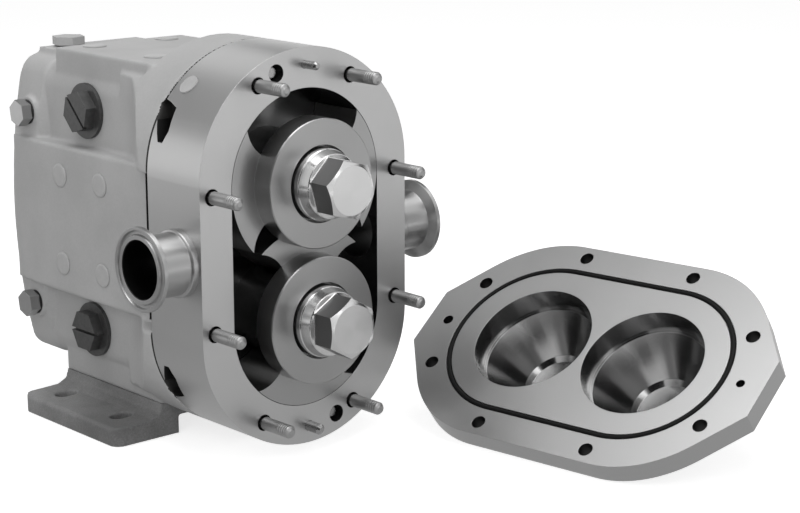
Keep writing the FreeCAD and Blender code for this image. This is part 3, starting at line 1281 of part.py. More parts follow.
def make_lid():
    """The loose front cover, made in place on the pump and then laid on the floor."""
    plate = head_outline("lid_plate", face - lid_thick, lid_thick)
    tangent_x = cosine(lid_facet) * body_end_radius
    tangent_z = shaft_offset + sine(lid_facet) * body_end_radius
    tip_x = tangent_x - (lid_tip - tangent_z) * sine(lid_facet) / cosine(lid_facet)
    outline = []
    for side, way in ((1, 1), (-1, 1), (-1, -1), (1, -1)):
        pair = [(tangent_x * side, centre_height + tangent_z * way),
                (tip_x * side, centre_height + lid_tip * way)]
        outline += pair if side * way > 0 else reversed(pair)
    plate = fuse("lid_blank", [plate, prism("lid_facets", "-Y", outline, face, lid_thick)])
    domes = []
    for i, z in enumerate((lower, upper)):
        rim = lid_bore + lid_wall
        domes.append(turned("lid_dome%d" % i, [
            (lid_thick - 1, 0), (lid_thick - 1, rim), (lid_bore_depth + 1, rim),
            (lid_depth - dome_bevel, lid_nose_bore + lid_wall - 1),
            (lid_depth, lid_nose_bore + lid_wall - dome_bevel), (lid_depth, 0)], 0, face, z, "-Y"))
    tools = []
    for i, z in enumerate((lower, upper)):
        tools.append(turned("lid_recess%d" % i, [
            (-1, 0), (-1, lid_bore), (lid_bore_depth, lid_bore), (lid_bore_depth, lid_bore - 2),
            (lid_recess_depth - 3, lid_nose_bore), (lid_recess_depth, lid_nose_bore - 3),
            (lid_recess_depth, 0)], 0, face, z, "-Y"))
    outer = stadium("lid_groove_outer", ring_circle + groove_half, face - groove_depth, groove_depth)
    inner = stadium("lid_groove_inner", ring_circle - groove_half, face - groove_depth, groove_depth)
    tools.append(cut("lid_groove", outer, [inner]))
    for i, (x, z) in enumerate(stud_places()):
        tools.append(rod("lid_hole%d" % i, lid_hole, lid_thick, x, face, z, "-Y"))
    for i, (x, z) in enumerate(dowel_places()):
        radius = (upper_dowel_radius, lower_dowel_radius)[i] + running_gap * 4
        tools.append(rod("lid_dowel%d" % i, radius, lid_thick, x, face, z, "-Y"))
    lay_down(cut("lid_solid", fuse("lid_casting", [plate] + domes), tools), "front_cover")
    lay_down(make_lid_ring(), "cover_seal_ring")


def make_lid_ring():
    """The seal ring in the cover's groove: two half rings joined by straight runs."""
    y = face - groove_depth + ring_radius + 0.05
    pieces = []
    for i, (z, turn) in enumerate(((upper, 0), (lower, 180))):
        arc = doc.addObject("Part::Torus", "lid_ring_end%d" % i)
        bind(arc, "Radius1", ring_circle)
        bind(arc, "Radius2", ring_radius)
        arc.Angle3 = 180
        rotation = Rotation(Vector(0, 1, 0), turn) * Rotation(Vector(1, 0, 0), 90)
        pieces.append(move(arc, 0, y, z, rotation))
    for i, side in enumerate((1, -1)):
        pieces.append(rod("lid_ring_run%d" % i, ring_radius, shaft_offset * 2, ring_circle * side, y,
                          lower, "Z"))
    return fuse("lid_ring", pieces)


def lid_place():
    """The resting pose: on one long edge and the ends of its two domes."""
    dome_edge = float(lid_nose_bore + lid_wall - dome_bevel)
    tilt = math.atan2(float(lid_depth - lid_thick), float(body_half_width) - dome_edge)
    turn = math.radians(float(lid_turn))
    long_axis = Vector(math.cos(turn), math.sin(turn), 0)
    level = Vector(-math.sin(turn), math.cos(turn), 0)
    upward = Vector(0, 0, 1)
    x_axis = level * math.cos(tilt) + upward * math.sin(tilt)
    y_axis = upward * math.cos(tilt) - level * math.sin(tilt)
    matrix = FreeCAD.Matrix(
        x_axis.x, y_axis.x, long_axis.x, 0, x_axis.y, y_axis.y, long_axis.y, 0,
        x_axis.z, y_axis.z, long_axis.z, 0, 0, 0, 0, 1)
    rotation = Rotation(matrix)
    rim = rotation.multVec(Vector(-float(body_half_width), -float(lid_thick), 0))
    place = Vector(float(lid_x), float(back(lid_y)), -rim.z)
    centre = Vector(0, float(face), float(centre_height))
    return Placement(place - rotation.multVec(centre), rotation)


def lay_down(thing, node):
    """Moves a piece from its place on the pump to where it lies on the floor."""
    doc.recompute()
    laid = doc.addObject("Part::Feature", node + "_laid")
    laid.Shape = thing.Shape.copy()
    laid.Placement = lid_place()
    keep(laid, node)


def make_shaft_line(node, z, turn, half_turn, nut_turn):
    """Everything that turns with one shaft."""
    is_drive = node == "drive"
    make_shaft(node, z, shaft_end if is_drive else driven_end, is_drive)
    make_key(node, z)
    make_rotor(node, z, turn)
    make_rotor_nut(node, z, nut_turn)
    make_rotor_seal(node, z)
    make_slinger(node, z)
    make_bearing_cones(node, z)
    make_spacer(node, z)
    make_timing_gear(node, z, half_turn)


def check_and_write():
    """Stops if anything failed, then writes one file per sub-part."""
    doc.recompute()
    broken = [item.Name for item in doc.Objects if "Invalid" in item.State or "Error" in item.State]
    broken += [item.Label for item in subparts if item.Shape.isNull() or not item.Shape.isValid()]
    if broken:
        raise SystemExit("failed objects: " + ", ".join(broken))
    os.makedirs("parts", exist_ok=True)
    for item in subparts:
        item.Shape.exportStep("parts/%s.step" % item.Label)
        print("%-28s %2d solids %9.1f mm3" % (item.Label, len(item.Shape.Solids), item.Shape.Volume))
    print(len(subparts), "sub-parts")


make_foot()
make_foot_bolts()
make_gear_case()
make_pad_plugs()
make_cleanout_plugs()
make_oil_plugs()
make_breather()
make_bearing_cups()
make_front_retainers()
make_rear_cover()
make_rear_cover_bolts()
lip_seal("drive_rear_lip_seal", rear_journal, rear_seal_radius, lip_seal_width,
         boss_back - lip_seal_width, lower)
make_pump_body()
make_body_plugs()
make_ports()
make_cover_studs()
make_dowels()
make_body_retainers()
make_seal_seats()
make_shaft_line("drive", lower, 90 - rotor_phase, 0.5, drive_nut_turn)
make_shaft_line("driven", upper, rotor_phase, 0, driven_nut_turn)
make_lid()
check_and_write()
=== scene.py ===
import math

import bmesh
import bpy
from mathutils import Matrix, Vector


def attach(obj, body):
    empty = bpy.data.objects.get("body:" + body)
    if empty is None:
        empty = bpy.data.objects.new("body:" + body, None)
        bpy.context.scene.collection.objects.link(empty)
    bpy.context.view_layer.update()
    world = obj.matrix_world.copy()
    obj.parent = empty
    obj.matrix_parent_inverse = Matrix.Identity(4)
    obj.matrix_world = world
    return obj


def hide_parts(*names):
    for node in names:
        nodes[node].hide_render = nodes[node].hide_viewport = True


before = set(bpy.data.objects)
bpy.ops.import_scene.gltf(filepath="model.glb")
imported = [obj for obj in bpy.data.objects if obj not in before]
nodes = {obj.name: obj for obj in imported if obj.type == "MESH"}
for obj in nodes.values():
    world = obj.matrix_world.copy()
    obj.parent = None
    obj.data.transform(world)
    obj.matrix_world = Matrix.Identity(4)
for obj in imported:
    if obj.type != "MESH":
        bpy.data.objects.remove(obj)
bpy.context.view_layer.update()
scene = bpy.context.scene
scene.view_settings.view_transform = "Standard"

# The picture
# A long lens from the front left, a little above the pump, as in a catalogue picture.
lens = bpy.data.cameras.new("catalogue_camera")
lens.sensor_width, lens.lens = 36, 91.85
camera = bpy.data.objects.new("catalogue_camera", lens)
scene.collection.objects.link(camera)
camera.matrix_world = (Matrix.Translation((-0.7561, -1.0784, 0.4072))
                       @ Matrix.Rotation(math.radians(-41.59), 4, "Z")
                       @ Matrix.Rotation(math.radians(90 - 13.21), 4, "X")
                       @ Matrix.Rotation(math.radians(-0.14), 4, "Z"))
scene.camera = camera


# The studio
# Large soft lamps overhead, at the left and in front, a white sweep, and black and grey cards that
# only the polished steel mirrors, as a photographer of bright metal sets them up.
def linear(colour):
    """An sRGB colour written as six hex digits, as the linear colour that the shaders take."""
    values = [int(colour[i:i + 2], 16) / 255 for i in (0, 2, 4)]
    return [v / 12.92 if v <= 0.04045 else ((v + 0.055) / 1.055) ** 2.4 for v in values] + [1]


def add(tree, kind, sockets=(), **settings):
    """A shader node. sockets gives its inputs by name or number: a value, or the output that feeds it."""
    node = tree.nodes.new("ShaderNode" + kind)
    for name, value in settings.items():
        setattr(node, name, value)
    for name, value in dict(sockets).items():
        if isinstance(value, bpy.types.NodeSocket):
            tree.links.new(value, node.inputs[name])
        else:
            node.inputs[name].default_value = value
    return node


def material(name):
    """A new, empty material and its node tree."""
    new = bpy.data.materials.new(name)
    new.use_nodes = True
    new.node_tree.nodes.clear()
    return new, new.node_tree


def mesh_piece(name, corners, faces):
    """A piece made of corner points and the faces between them."""
    mesh = bpy.data.meshes.new(name)
    mesh.from_pydata(corners, [], faces)
    piece = bpy.data.objects.new(name, mesh)
    scene.collection.objects.link(piece)
    return piece


def facing_from(centre, towards):
    """Where something stands that looks from one point to another along its own -Z."""
    aim = (Vector(towards) - Vector(centre)).to_track_quat("-Z", "Y").to_matrix().to_4x4()
    return Matrix.Translation(centre) @ aim


def card(name, centre, towards, width, height):
    """A flat card, facing a point."""
    piece = mesh_piece(name, [(-width / 2, -height / 2, 0), (width / 2, -height / 2, 0),
                              (width / 2, height / 2, 0), (-width / 2, height / 2, 0)], [(0, 1, 2, 3)])
    piece.matrix_world = facing_from(centre, towards)
    return piece


def lamp(name, centre, towards, width, height, power, mirrored=True):
    """A soft rectangular lamp, facing a point, that polished steel may or may not mirror."""
    light = bpy.data.lights.new(name, "AREA")
    light.shape, light.size, light.size_y, light.energy = "RECTANGLE", width, height, power
    holder = bpy.data.objects.new(name, light)
    scene.collection.objects.link(holder)
    holder.matrix_world = facing_from(centre, towards)
    holder.visible_glossy = mirrored


lamp("overhead_softbox", (-0.1, -0.2, 1.5), (0.05, -0.1, 0.1), 1.4, 1.0, 12)
lamp("left_softbox", (-1.4, -1.0, 0.9), (0, 0, 0.13), 0.9, 1.2, 10, mirrored=False)
lamp("front_softbox", (-0.2, -1.7, 1.1), (0.1, -0.15, 0.1), 0.7, 0.5, 2.5)


def looked_at(tree):
    """1 where the camera sees something, itself or mirrored in metal, and 0 where it only lights the pump."""
    path = add(tree, "LightPath")
    direct = add(tree, "Math", {0: path.outputs["Is Camera Ray"], 1: path.outputs["Is Glossy Ray"]},
                 operation="MAXIMUM")
    return add(tree, "Math", {0: direct.outputs[0], 1: path.outputs["Is Transmission Ray"]},
               operation="MAXIMUM").outputs[0]


# The paper keeps the pump's shadow, and its glow makes the picture's ground white.
sweep = card("studio_floor", (0, 0, -0.0005), (0, 0, -1), 8, 8)
white_paper, tree = material("white studio paper")
paper = add(tree, "BsdfDiffuse", {"Color": linear("D6D6D6")})
glow = add(tree, "Emission", {"Color": linear("FFFFFF"), "Strength": 0.75})
lit = add(tree, "AddShader", {0: paper.outputs[0], 1: glow.outputs[0]})
shown = add(tree, "MixShader", {0: looked_at(tree), 1: paper.outputs[0], 2: lit.outputs[0]})
add(tree, "OutputMaterial", {"Surface": shown.outputs[0]})
sweep.data.materials.append(white_paper)

# The room lights the pump softly, and is white behind it.
world = bpy.data.worlds.new("studio_room")
scene.world = world
world.use_nodes = True
tree = world.node_tree
tree.nodes.clear()
room = add(tree, "Background", {"Color": linear("FFFFFF"), "Strength": 0.3})
backdrop = add(tree, "Background", {"Color": linear("FFFFFF"), "Strength": 1.0})
both = add(tree, "MixShader", {0: looked_at(tree), 1: room.outputs[0], 2: backdrop.outputs[0]})
add(tree, "OutputWorld", {"Surface": both.outputs[0]})

black_felt, tree = material("black felt on card")
felt = add(tree, "BsdfDiffuse", {"Color": linear("0A0A0A")})
add(tree, "OutputMaterial", {"Surface": felt.outputs[0]})

grey_card, tree = material("grey card")
plain = add(tree, "Emission", {"Color": linear("B8B8B8"), "Strength": 0.8})
add(tree, "OutputMaterial", {"Surface": plain.outputs[0]})

# The table's card glows, dim behind the pump's left side as a painted shadow of the pump, and paler away from
# there.
glow_card_with_painted_shadow, tree = material("glowing card with painted shadow by the pump")
place = add(tree, "TexCoord").outputs["Object"]
away = add(tree, "VectorMath", {0: place}, operation="LENGTH")
shade = add(tree, "MapRange", {"Value": away.outputs["Value"], "From Min": 0.05, "From Max": 1.1,
                               "To Min": 0.26, "To Max": 0.8})
pale = add(tree, "Emission", {"Color": linear("FFFFFF"), "Strength": shade.outputs[0]})
add(tree, "OutputMaterial", {"Surface": pale.outputs[0]})

# The table's two cards lie on the floor, and the others stand round the pump, out of the picture.
table_card = mesh_piece("table_card", [(-0.6, -1.25, 0.0005), (1.2, -1.25, 0.0005), (1.2, 0.55, 0.0005),
                                       (-0.6, 0.55, 0.0005)], [(0, 1, 2, 3)])
table_card.location = -0.3, 0.35, 0
table_felt = mesh_piece("table_felt", [(-0.3, -0.22, 0.001), (-0.2, -0.36, 0.001), (-0.75, -1.45, 0.001),
                                       (-1.6, -0.65, 0.001)], [(0, 1, 2, 3)])
pump_middle = 0, -0.1, 0.2
for flag, cover in ((table_card, glow_card_with_painted_shadow), (table_felt, black_felt),
                    (card("front_left_card", (-1.5, -1.5, 0.8), pump_middle, 1.6, 1.8), black_felt),
                    (card("right_card", (1.9, -1.2, 0.5), pump_middle, 1.4, 1.2), black_felt),
                    (card("upper_right_card", (0.94, 0.63, 1.27), pump_middle, 1.1, 1.1), black_felt),
                    (card("back_left_card", (-0.75, 1.3, 1.15), pump_middle, 2.0, 0.9), grey_card),
                    (card("back_top_card", (0.0, 0.97, 1.9), (0.15, -0.24, 0.06), 1.4, 1.0), grey_card)):
    flag.data.materials.append(cover)
    flag.visible_camera = flag.visible_diffuse = flag.visible_shadow = flag.visible_transmission = False


# Mounting foot
# A flat iron casting on which the gear case stands, bolted up from inside. It is sand cast and
# sprayed with thick grey enamel, which rounds its edges and leaves the grain of the sand.
def per_mm(size):
    """The texture scale whose pattern repeats about every so many millimetres."""
    return 1000 / size


def surface(tree, shader, bumps, edge=0.3):
    """Ends a material: its finish, over rounded edges of so many millimetres and its bumps."""
    soft = add(tree, "Bevel", {"Radius": edge / 1000}, samples=4)
    normal = soft.outputs[0]
    for height, depth in bumps:
        normal = add(tree, "Bump", {"Height": height, "Distance": depth / 1000, "Strength": 1.0,
                                    "Normal": normal}).outputs[0]
    finish = add(tree, "BsdfPrincipled", dict(shader, Normal=normal))
    add(tree, "OutputMaterial", {"Surface": finish.outputs[0]})


def cast_enamel(name, grain, grain_depth, shade):
    """Grey enamel over sand-cast iron: matt, with soft waves, grains of sand and small colour drift."""
    new, tree = material(name)
    place = add(tree, "TexCoord").outputs["Object"]
    drift = add(tree, "TexNoise", {"Vector": place, "Scale": per_mm(60), "Detail": 4.0})
    sand = add(tree, "TexNoise", {"Vector": place, "Scale": per_mm(grain), "Detail": 3.0, "Roughness": 0.6})
    both = add(tree, "Mix", {0: 0.3, 2: drift.outputs[0], 3: sand.outputs[0]}, data_type="FLOAT")
    colour = add(tree, "ValToRGB", {0: both.outputs[0]})
    colour.color_ramp.elements[0].position, colour.color_ramp.elements[1].position = 0.38, 0.62
    colour.color_ramp.elements[0].color, colour.color_ramp.elements[1].color = map(linear, shade)
    wave = add(tree, "TexNoise", {"Vector": place, "Scale": per_mm(22), "Detail": 2.0})
    gloss = add(tree, "MapRange", {"Value": sand.outputs[0], "To Min": 0.42, "To Max": 0.6})
    surface(tree, {"Base Color": colour.outputs[0], "Roughness": gloss.outputs[0], "IOR": 1.5},
            [(wave.outputs[0], 0.4), (sand.outputs[0], grain_depth)], edge=0.8)
    return new


def block(name, low, high):
    """A box between two corners."""
    corners = [(x, y, z) for x in (low[0], high[0]) for y in (low[1], high[1]) for z in (low[2], high[2])]
    return mesh_piece(name, corners, [(0, 1, 3, 2), (4, 6, 7, 5), (0, 4, 5, 1), (2, 3, 7, 6), (0, 2, 6, 4),
                                      (1, 5, 7, 3)])


def casting(node, name, body, finish, voxel, passes, rebates=()):
    """A cast piece: the node's shape with its edges and corners rounded as sand and paint leave them.

    Rebates are cut last, and stay sharp. Each is a box, given by its lowest and highest corner.
    """
    piece = bpy.data.objects.new(name, nodes[node].data.copy())
    scene.collection.objects.link(piece)
    remesh = piece.modifiers.new("sand_mould", "REMESH")
    remesh.mode, remesh.voxel_size, remesh.use_smooth_shade = "VOXEL", voxel / 1000, True
    soften = piece.modifiers.new("rounded_corners", "SMOOTH")
    soften.factor, soften.iterations = 0.5, passes
    cutters = [block("cutter", low, high) for low, high in rebates]
    for cutter in cutters:
        saw = piece.modifiers.new("rebate", "BOOLEAN")
        saw.operation, saw.object, saw.solver = "DIFFERENCE", cutter, "EXACT"
    view = bpy.context.evaluated_depsgraph_get()
    moulded = bpy.data.meshes.new_from_object(piece.evaluated_get(view))
    piece.modifiers.clear()
    for cutter in cutters:
        bpy.data.objects.remove(cutter)
    piece.data = moulded
    piece.data.materials.clear()
    piece.data.materials.append(finish)
    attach(piece, body)
    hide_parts(node)
    return piece


def dress(finish, *names):
    """Gives CAD nodes a finish."""
    for name in names:
        data = nodes[name].data
        data.materials.clear()
        data.materials.append(finish)


# The foot's enamel is the case's grey, drawn darker here as painted shade under the case.
shaded_rough_enamel = cast_enamel("grey enamel over rough sand-cast iron", 1.1, 0.3, ("626262", "8E8E8E"))
casting("mounting_foot", "mounting_foot_casting", "pump", shaded_rough_enamel, 1.0, 2)

# Foot bolts
# Four zinc-plated hexagon bolts that hold the foot to the case from below.
def fine_grained(name, colour, grain, detail, gloss, depth, edge, **shader):
    """A finish of one colour. Its gloss and its bumps follow a grain so many millimetres across.

    A real grain that is too fine for the picture is drawn as coarse as it needs to show.
    """
    new, tree = material(name)
    place = add(tree, "TexCoord").outputs["Object"]
    grains = add(tree, "TexNoise", {"Vector": place, "Scale": per_mm(grain), "Detail": detail}).outputs[0]
    rough = add(tree, "MapRange", {"Value": grains, "To Min": gloss[0], "To Max": gloss[1]})
    surface(tree, {"Base Color": linear(colour), "Roughness": rough.outputs[0], **shader},
            [(grains, depth)], edge)
    return new


# Zinc from the plating bath is a cloudy, half-bright grey.
zinc_plate = fine_grained("zinc-plated steel", "B8B8B8", 4, 5.0, (0.26, 0.42), 0.02, 0.35, Metallic=1.0)
dress(zinc_plate, "foot_bolts")

# Gear case
# One iron casting that holds the bearings and the timing gears: a band with the outline of the pump
# body in front, a narrower trunk with machined pads, and a rear band. Filled, sanded and sprayed grey.
smooth_enamel = cast_enamel("grey enamel over filled cast iron", 1.6, 0.04, ("A6A6A6", "B2B2B2"))
# A rebate at the window's edge ends each side pad 4.5 mm short, and shows as a thin gap, darkened with
# painted shade. It is cut backwards from the pad's end, and inwards from clear of the case.
PAD_END, REBATE_END, REBATE_DEEP, CASE_CLEAR = -0.0718, -0.0668, 0.0595, 0.0895
PORT_HEIGHT, REBATE_HALF = 0.13, 0.0475
case = casting("gear_case", "gear_case_casting", "pump", smooth_enamel, 1.2, 3,
               [((low_x, PAD_END, PORT_HEIGHT - REBATE_HALF), (high_x, REBATE_END, PORT_HEIGHT + REBATE_HALF))
                for low_x, high_x in ((-CASE_CLEAR, -REBATE_DEEP), (REBATE_DEEP, CASE_CLEAR))])

# Inside the windows, the seam, the notches and the rebates the iron is bare and oily, and drawn near black as
# painted shade where the light doesn't reach.
bare_iron_painted_shade = fine_grained("bare oily cast iron, darkened as painted shade", "1C1B1A", 2, 4.0, (0.5, 0.75), 0.1, 0.5, IOR=1.5)

# The two shafts are 84 mm apart, one below and one above the height of the ports.
HALF_CENTRES = 0.042
SHAFTS = {"drive": PORT_HEIGHT - HALF_CENTRES, "driven": PORT_HEIGHT + HALF_CENTRES}


def from_spine(x, height):
    """How far a point is from the plane between the two shafts, its height counted from the ports."""
    return math.hypot(x, max(abs(height) - HALF_CENTRES, 0))


def finish_inside(piece, finish, inside):
    """Gives the faces whose middle passes a test one more finish."""
    piece.data.materials.append(finish)
    last = len(piece.data.materials) - 1
    for face in piece.data.polygons:
        if inside(face):
            face.material_index = last


def outward(face):
    """How much a face looks straight away from the plane between the two shafts."""
    height = face.center.z - PORT_HEIGHT
    away = Vector((face.center.x, 0, height - max(-HALF_CENTRES, min(HALF_CENTRES, height))))
    return face.normal.dot(away.normalized())


# How far back the seam, the notches and the window reach.
SEAM_BACK, NOTCH_BACK, WINDOW_BACK = -0.0878, -0.0858, -0.0555
# Where the notches lie, their heights counted from the ports, and how far out the window's walls are.
NOTCH_SIDE, NOTCH_LOW, NOTCH_HIGH, WINDOW_SIDE, WINDOW_WALL = 0.0545, 0.067, 0.094, 0.06, 0.0765
# How far out the rebates' walls and the pads' faces are, and how far round a cut's edges the bare iron's
# painted shade reaches.
REBATE_SIDE, PAD_SIDE, CUT_EDGE = 0.0668, 0.0635, 0.0006


def bare_and_shaded(face):
    """True in the seam, the notches and the rebates, and on the walls of the window behind the body, where
    bare iron is drawn near black as painted shade.
    """
    x, y, height = abs(face.center.x), face.center.y, abs(face.center.z - PORT_HEIGHT)
    seam = y < SEAM_BACK
    notch = x > NOTCH_SIDE and NOTCH_LOW < height < NOTCH_HIGH and y < NOTCH_BACK and outward(face) < 0.75
    window = y < WINDOW_BACK and x < WINDOW_SIDE and from_spine(x, height) < WINDOW_WALL
    rebate = x < REBATE_SIDE and PAD_END - CUT_EDGE < y < REBATE_END + CUT_EDGE and height < REBATE_HALF
    pad_face = x > PAD_SIDE and abs(face.normal.x) > 0.8
    return seam or notch or window or rebate and not pad_face


finish_inside(case, bare_iron_painted_shade, bare_and_shaded)

# Bearings
# Two tapered roller bearings on each shaft, hardened and ground, with a ground spacer between them.
# The cups sit in the case and the cones turn with the shafts.

# Hardened steel is dark and clean from the grinding wheel, under a film of oil.
ground_steel = fine_grained("ground and oiled steel", "A2A2A2", 1.5, 4.0, (0.2, 0.32), 0.008, 0.25,
                            Metallic=1.0)
for shaft in SHAFTS:
    dress(ground_steel, shaft + "_front_bearing_cup", shaft + "_rear_bearing_cup",
          shaft + "_front_bearing_cone", shaft + "_rear_bearing_cone", shaft + "_bearing_spacer")

# Timing gears
# A pair of hardened spur gears, keyed and locked with slotted nuts, that hold the rotors in step.
dress(ground_steel, "drive_gear_key", "driven_gear_key", "drive_timing_gear", "driven_timing_gear",
      "drive_gear_lock_nut", "driven_gear_lock_nut")

# Oil seals and bearing retainers
# Plates screwed to the case over the front bearings, each with a nitrile lip seal, and one more
# seal round the drive shaft in the rear cover.

# Moulded nitrile is black with a dull sheen.
nitrile = fine_grained("black nitrile rubber", "191919", 0.8, 3.0, (0.38, 0.55), 0.02, 0.3, IOR=1.52)
dress(nitrile, "drive_front_lip_seal", "driven_front_lip_seal", "drive_rear_lip_seal")
dress(ground_steel, "drive_bearing_retainer", "driven_bearing_retainer")
dress(zinc_plate, "retainer_screws")

# Rear cover
# A cast plate that closes the gear chamber, on six bolts.
casting("rear_cover", "rear_cover_casting", "pump", smooth_enamel, 1.2, 4)
dress(zinc_plate, "rear_cover_bolts")

# Plugs in the spare mounting holes
# Thin plastic plugs pushed in before painting. The enamel that covers them is a little smoother
# there than on the iron.
painted_plastic, tree = material("enamel on push-in polyethylene plugs")
place = add(tree, "TexCoord").outputs["Object"]
drift = add(tree, "TexNoise", {"Vector": place, "Scale": per_mm(5), "Detail": 3.0})
colour = add(tree, "ValToRGB", {0: drift.outputs[0]})
colour.color_ramp.elements[0].color, colour.color_ramp.elements[1].color = linear("A4A4A4"), linear("B6B6B6")
gloss = add(tree, "MapRange", {"Value": drift.outputs[0], "To Min": 0.34, "To Max": 0.46})
surface(tree, {"Base Color": colour.outputs[0], "Roughness": gloss.outputs[0], "IOR": 1.5},
        [(drift.outputs[0], 0.05)], edge=0.8)
dress(painted_plastic, "side_pad_plugs", "top_pad_plugs")

# Cleanout plugs
# Two large steel plugs with a wide screwdriver slot on each side of the case, blackened in a hot
# bath of salts, which leaves them a dark, slightly mottled grey.
black_oxide, tree = material("black oxide on steel")
place = add(tree, "TexCoord").outputs["Object"]
bloom = add(tree, "TexNoise", {"Vector": place, "Scale": per_mm(3), "Detail": 5.0})
colour = add(tree, "ValToRGB", {0: bloom.outputs[0]})
colour.color_ramp.elements[0].color, colour.color_ramp.elements[1].color = linear("404040"), linear("606060")
gloss = add(tree, "MapRange", {"Value": bloom.outputs[0], "To Min": 0.36, "To Max": 0.5})
surface(tree, {"Base Color": colour.outputs[0], "Metallic": 0.6, "Roughness": gloss.outputs[0]},
        [(bloom.outputs[0], 0.06)], edge=0.5)
dress(black_oxide, "slotted_cleanout_plugs")

# Oil plugs and breather
# Hexagon plugs on rubber rings for filling, level and draining, and a breather on the rear ledge,
# all plated and partly caught by the spray.
dress(zinc_plate, "oil_level_plugs")
dress(nitrile, "oil_plug_seals")
dress(smooth_enamel, "breather_plug")

# Pump body
# A stainless casting, machined all over: a lapped front face, ground sides, and two bores turned
# round the fixed hubs on which the rotors' wings run. Its bores are drawn darker and its drilled holes near
# black, as painted shade.
def as_milled(tree):
    """The place on a piece as it lay on the machine, which keep_place() writes on its mesh."""
    return add(tree, "Attribute", attribute_name="as_milled").outputs["Vector"]


def keep_place(piece, place):
    """Writes each corner's place in the machine's axes on the mesh, and lays the mesh where it belongs."""
    kept = piece.data.attributes.new("as_milled", "FLOAT_VECTOR", "POINT")
    kept.data.foreach_set("vector", [part for corner in piece.data.vertices for part in corner.co])
    piece.data.transform(place)
    piece.matrix_world = Matrix.Identity(4)


def lapped(name, colour, stretch, cloud, slanted=False):
    """Steel with fine marks drawn out along the piece, slanted as it lies or upright, and cloudy gloss."""
    new, tree = material(name)
    place = as_milled(tree) if slanted else add(tree, "TexCoord").outputs["Object"]
    lapping = add(tree, "Mapping", {"Vector": place, "Scale": (1, 1, stretch)})
    streak = add(tree, "TexNoise", {"Vector": lapping.outputs[0], "Scale": per_mm(0.9), "Detail": 3.0})
    bloom = add(tree, "TexNoise", {"Vector": place, "Scale": per_mm(cloud), "Detail": 3.0})
    both = add(tree, "Mix", {0: 0.5, 2: streak.outputs[0], 3: bloom.outputs[0]}, data_type="FLOAT")
    gloss = add(tree, "MapRange", {"Value": both.outputs[0], "To Min": 0.26, "To Max": 0.42})
    surface(tree, {"Base Color": linear(colour), "Metallic": 1.0, "Roughness": gloss.outputs[0]},
            [(streak.outputs[0], 0.012)], edge=0.4)
    return new


# Ground and lapped stainless steel is satin: it mirrors its surroundings, but softly. Its marks are
# about 0.1 mm apart, too fine for the picture, and are drawn at 0.9 mm.
satin_stainless = lapped("machined stainless steel", "C0C0C0", 0.05, 35)
# A drilled wall is rougher, and is drawn nearly black as painted shade deep in its hole.
drilled_and_shaded = fine_grained("drilled stainless steel, darkened as painted shade", "3A3A3A", 0.8, 3.0, (0.3, 0.5), 0.02, 0.2, Metallic=1.0)


def paired_bores(name, colour, spacing, depth, gloss_low, gloss_high, fan, wide=(1, 0, 0), long=(0, 0, 1)):
    """Steel turned about two axes, one for each shaft, along the piece's own Y.

    wide and long are where its X and its Z lie on the finished pump.
    """
    new, tree = material(name)
    parts = add(tree, "SeparateXYZ", {0: as_milled(tree)})
    half = add(tree, "Math", {0: parts.outputs[2]}, operation="ABSOLUTE")
    side = add(tree, "Math", {0: parts.outputs[2]}, operation="SIGN")
    off = add(tree, "Math", {0: half.outputs[0], 1: HALF_CENTRES}, operation="SUBTRACT")
    up = add(tree, "Math", {0: off.outputs[0], 1: side.outputs[0]}, operation="MULTIPLY")
    down = add(tree, "Math", {0: up.outputs[0], 1: -1.0}, operation="MULTIPLY")
    flat = add(tree, "CombineXYZ", {0: parts.outputs[0], 1: up.outputs[0]})
    radius = add(tree, "VectorMath", {0: flat.outputs[0]}, operation="LENGTH")
    unrolled = add(tree, "CombineXYZ", {0: radius.outputs["Value"], 1: parts.outputs[1]})
    rings = add(tree, "TexNoise", {"Vector": unrolled.outputs[0], "Scale": per_mm(spacing),
                                   "Detail": 3.0, "Roughness": 0.6})
    widthways = add(tree, "VectorMath", {0: wide, "Scale": down.outputs[0]}, operation="SCALE")
    lengthways = add(tree, "VectorMath", {0: long, "Scale": parts.outputs[0]}, operation="SCALE")
    round_it = add(tree, "VectorMath", {0: widthways.outputs[0], 1: lengthways.outputs[0]}, operation="ADD")
    in_world = add(tree, "VectorTransform", {0: round_it.outputs[0]}, vector_type="VECTOR",
                   convert_from="OBJECT", convert_to="WORLD")
    unit = add(tree, "VectorMath", {0: in_world.outputs[0]}, operation="NORMALIZE")
    gloss = add(tree, "MapRange", {"Value": rings.outputs[0], "To Min": gloss_low, "To Max": gloss_high})
    surface(tree, {"Base Color": linear(colour), "Metallic": 1.0, "Roughness": gloss.outputs[0],
                   "Anisotropic": fan, "Anisotropic Rotation": 0.25, "Tangent": unit.outputs[0]},
            [(rings.outputs[0], depth)], edge=0.35)
    return new


def placed_copy(node, name, body, finish, place):
    """A copy of a node with its own axes at a place, so that its tool marks follow them."""
    piece = bpy.data.objects.new(name, nodes[node].data.copy())
    scene.collection.objects.link(piece)
    piece.data.transform(place.inverted())
    piece.matrix_world = place
    piece.data.materials.clear()
    piece.data.materials.append(finish)
    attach(piece, body)
    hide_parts(node)
    return piece


# Fine turning draws each highlight out into a fan. Its marks are about 0.2 mm apart, too fine for the
# picture. They are drawn at 0.9 mm here and in the cover, and at 0.4 to 0.7 mm on other turned pieces.
# The bores are drawn darker than the body's face, as painted shade in the chamber.
bored_stainless_shaded = paired_bores("bored stainless steel, darkened as painted shade", "6E6E6E", 0.9, 0.003, 0.2, 0.3, 0.8)
# Where the body's face is, and how far behind it the body ends.
BODY_FACE, BODY_BACK = -0.142, 0.0515
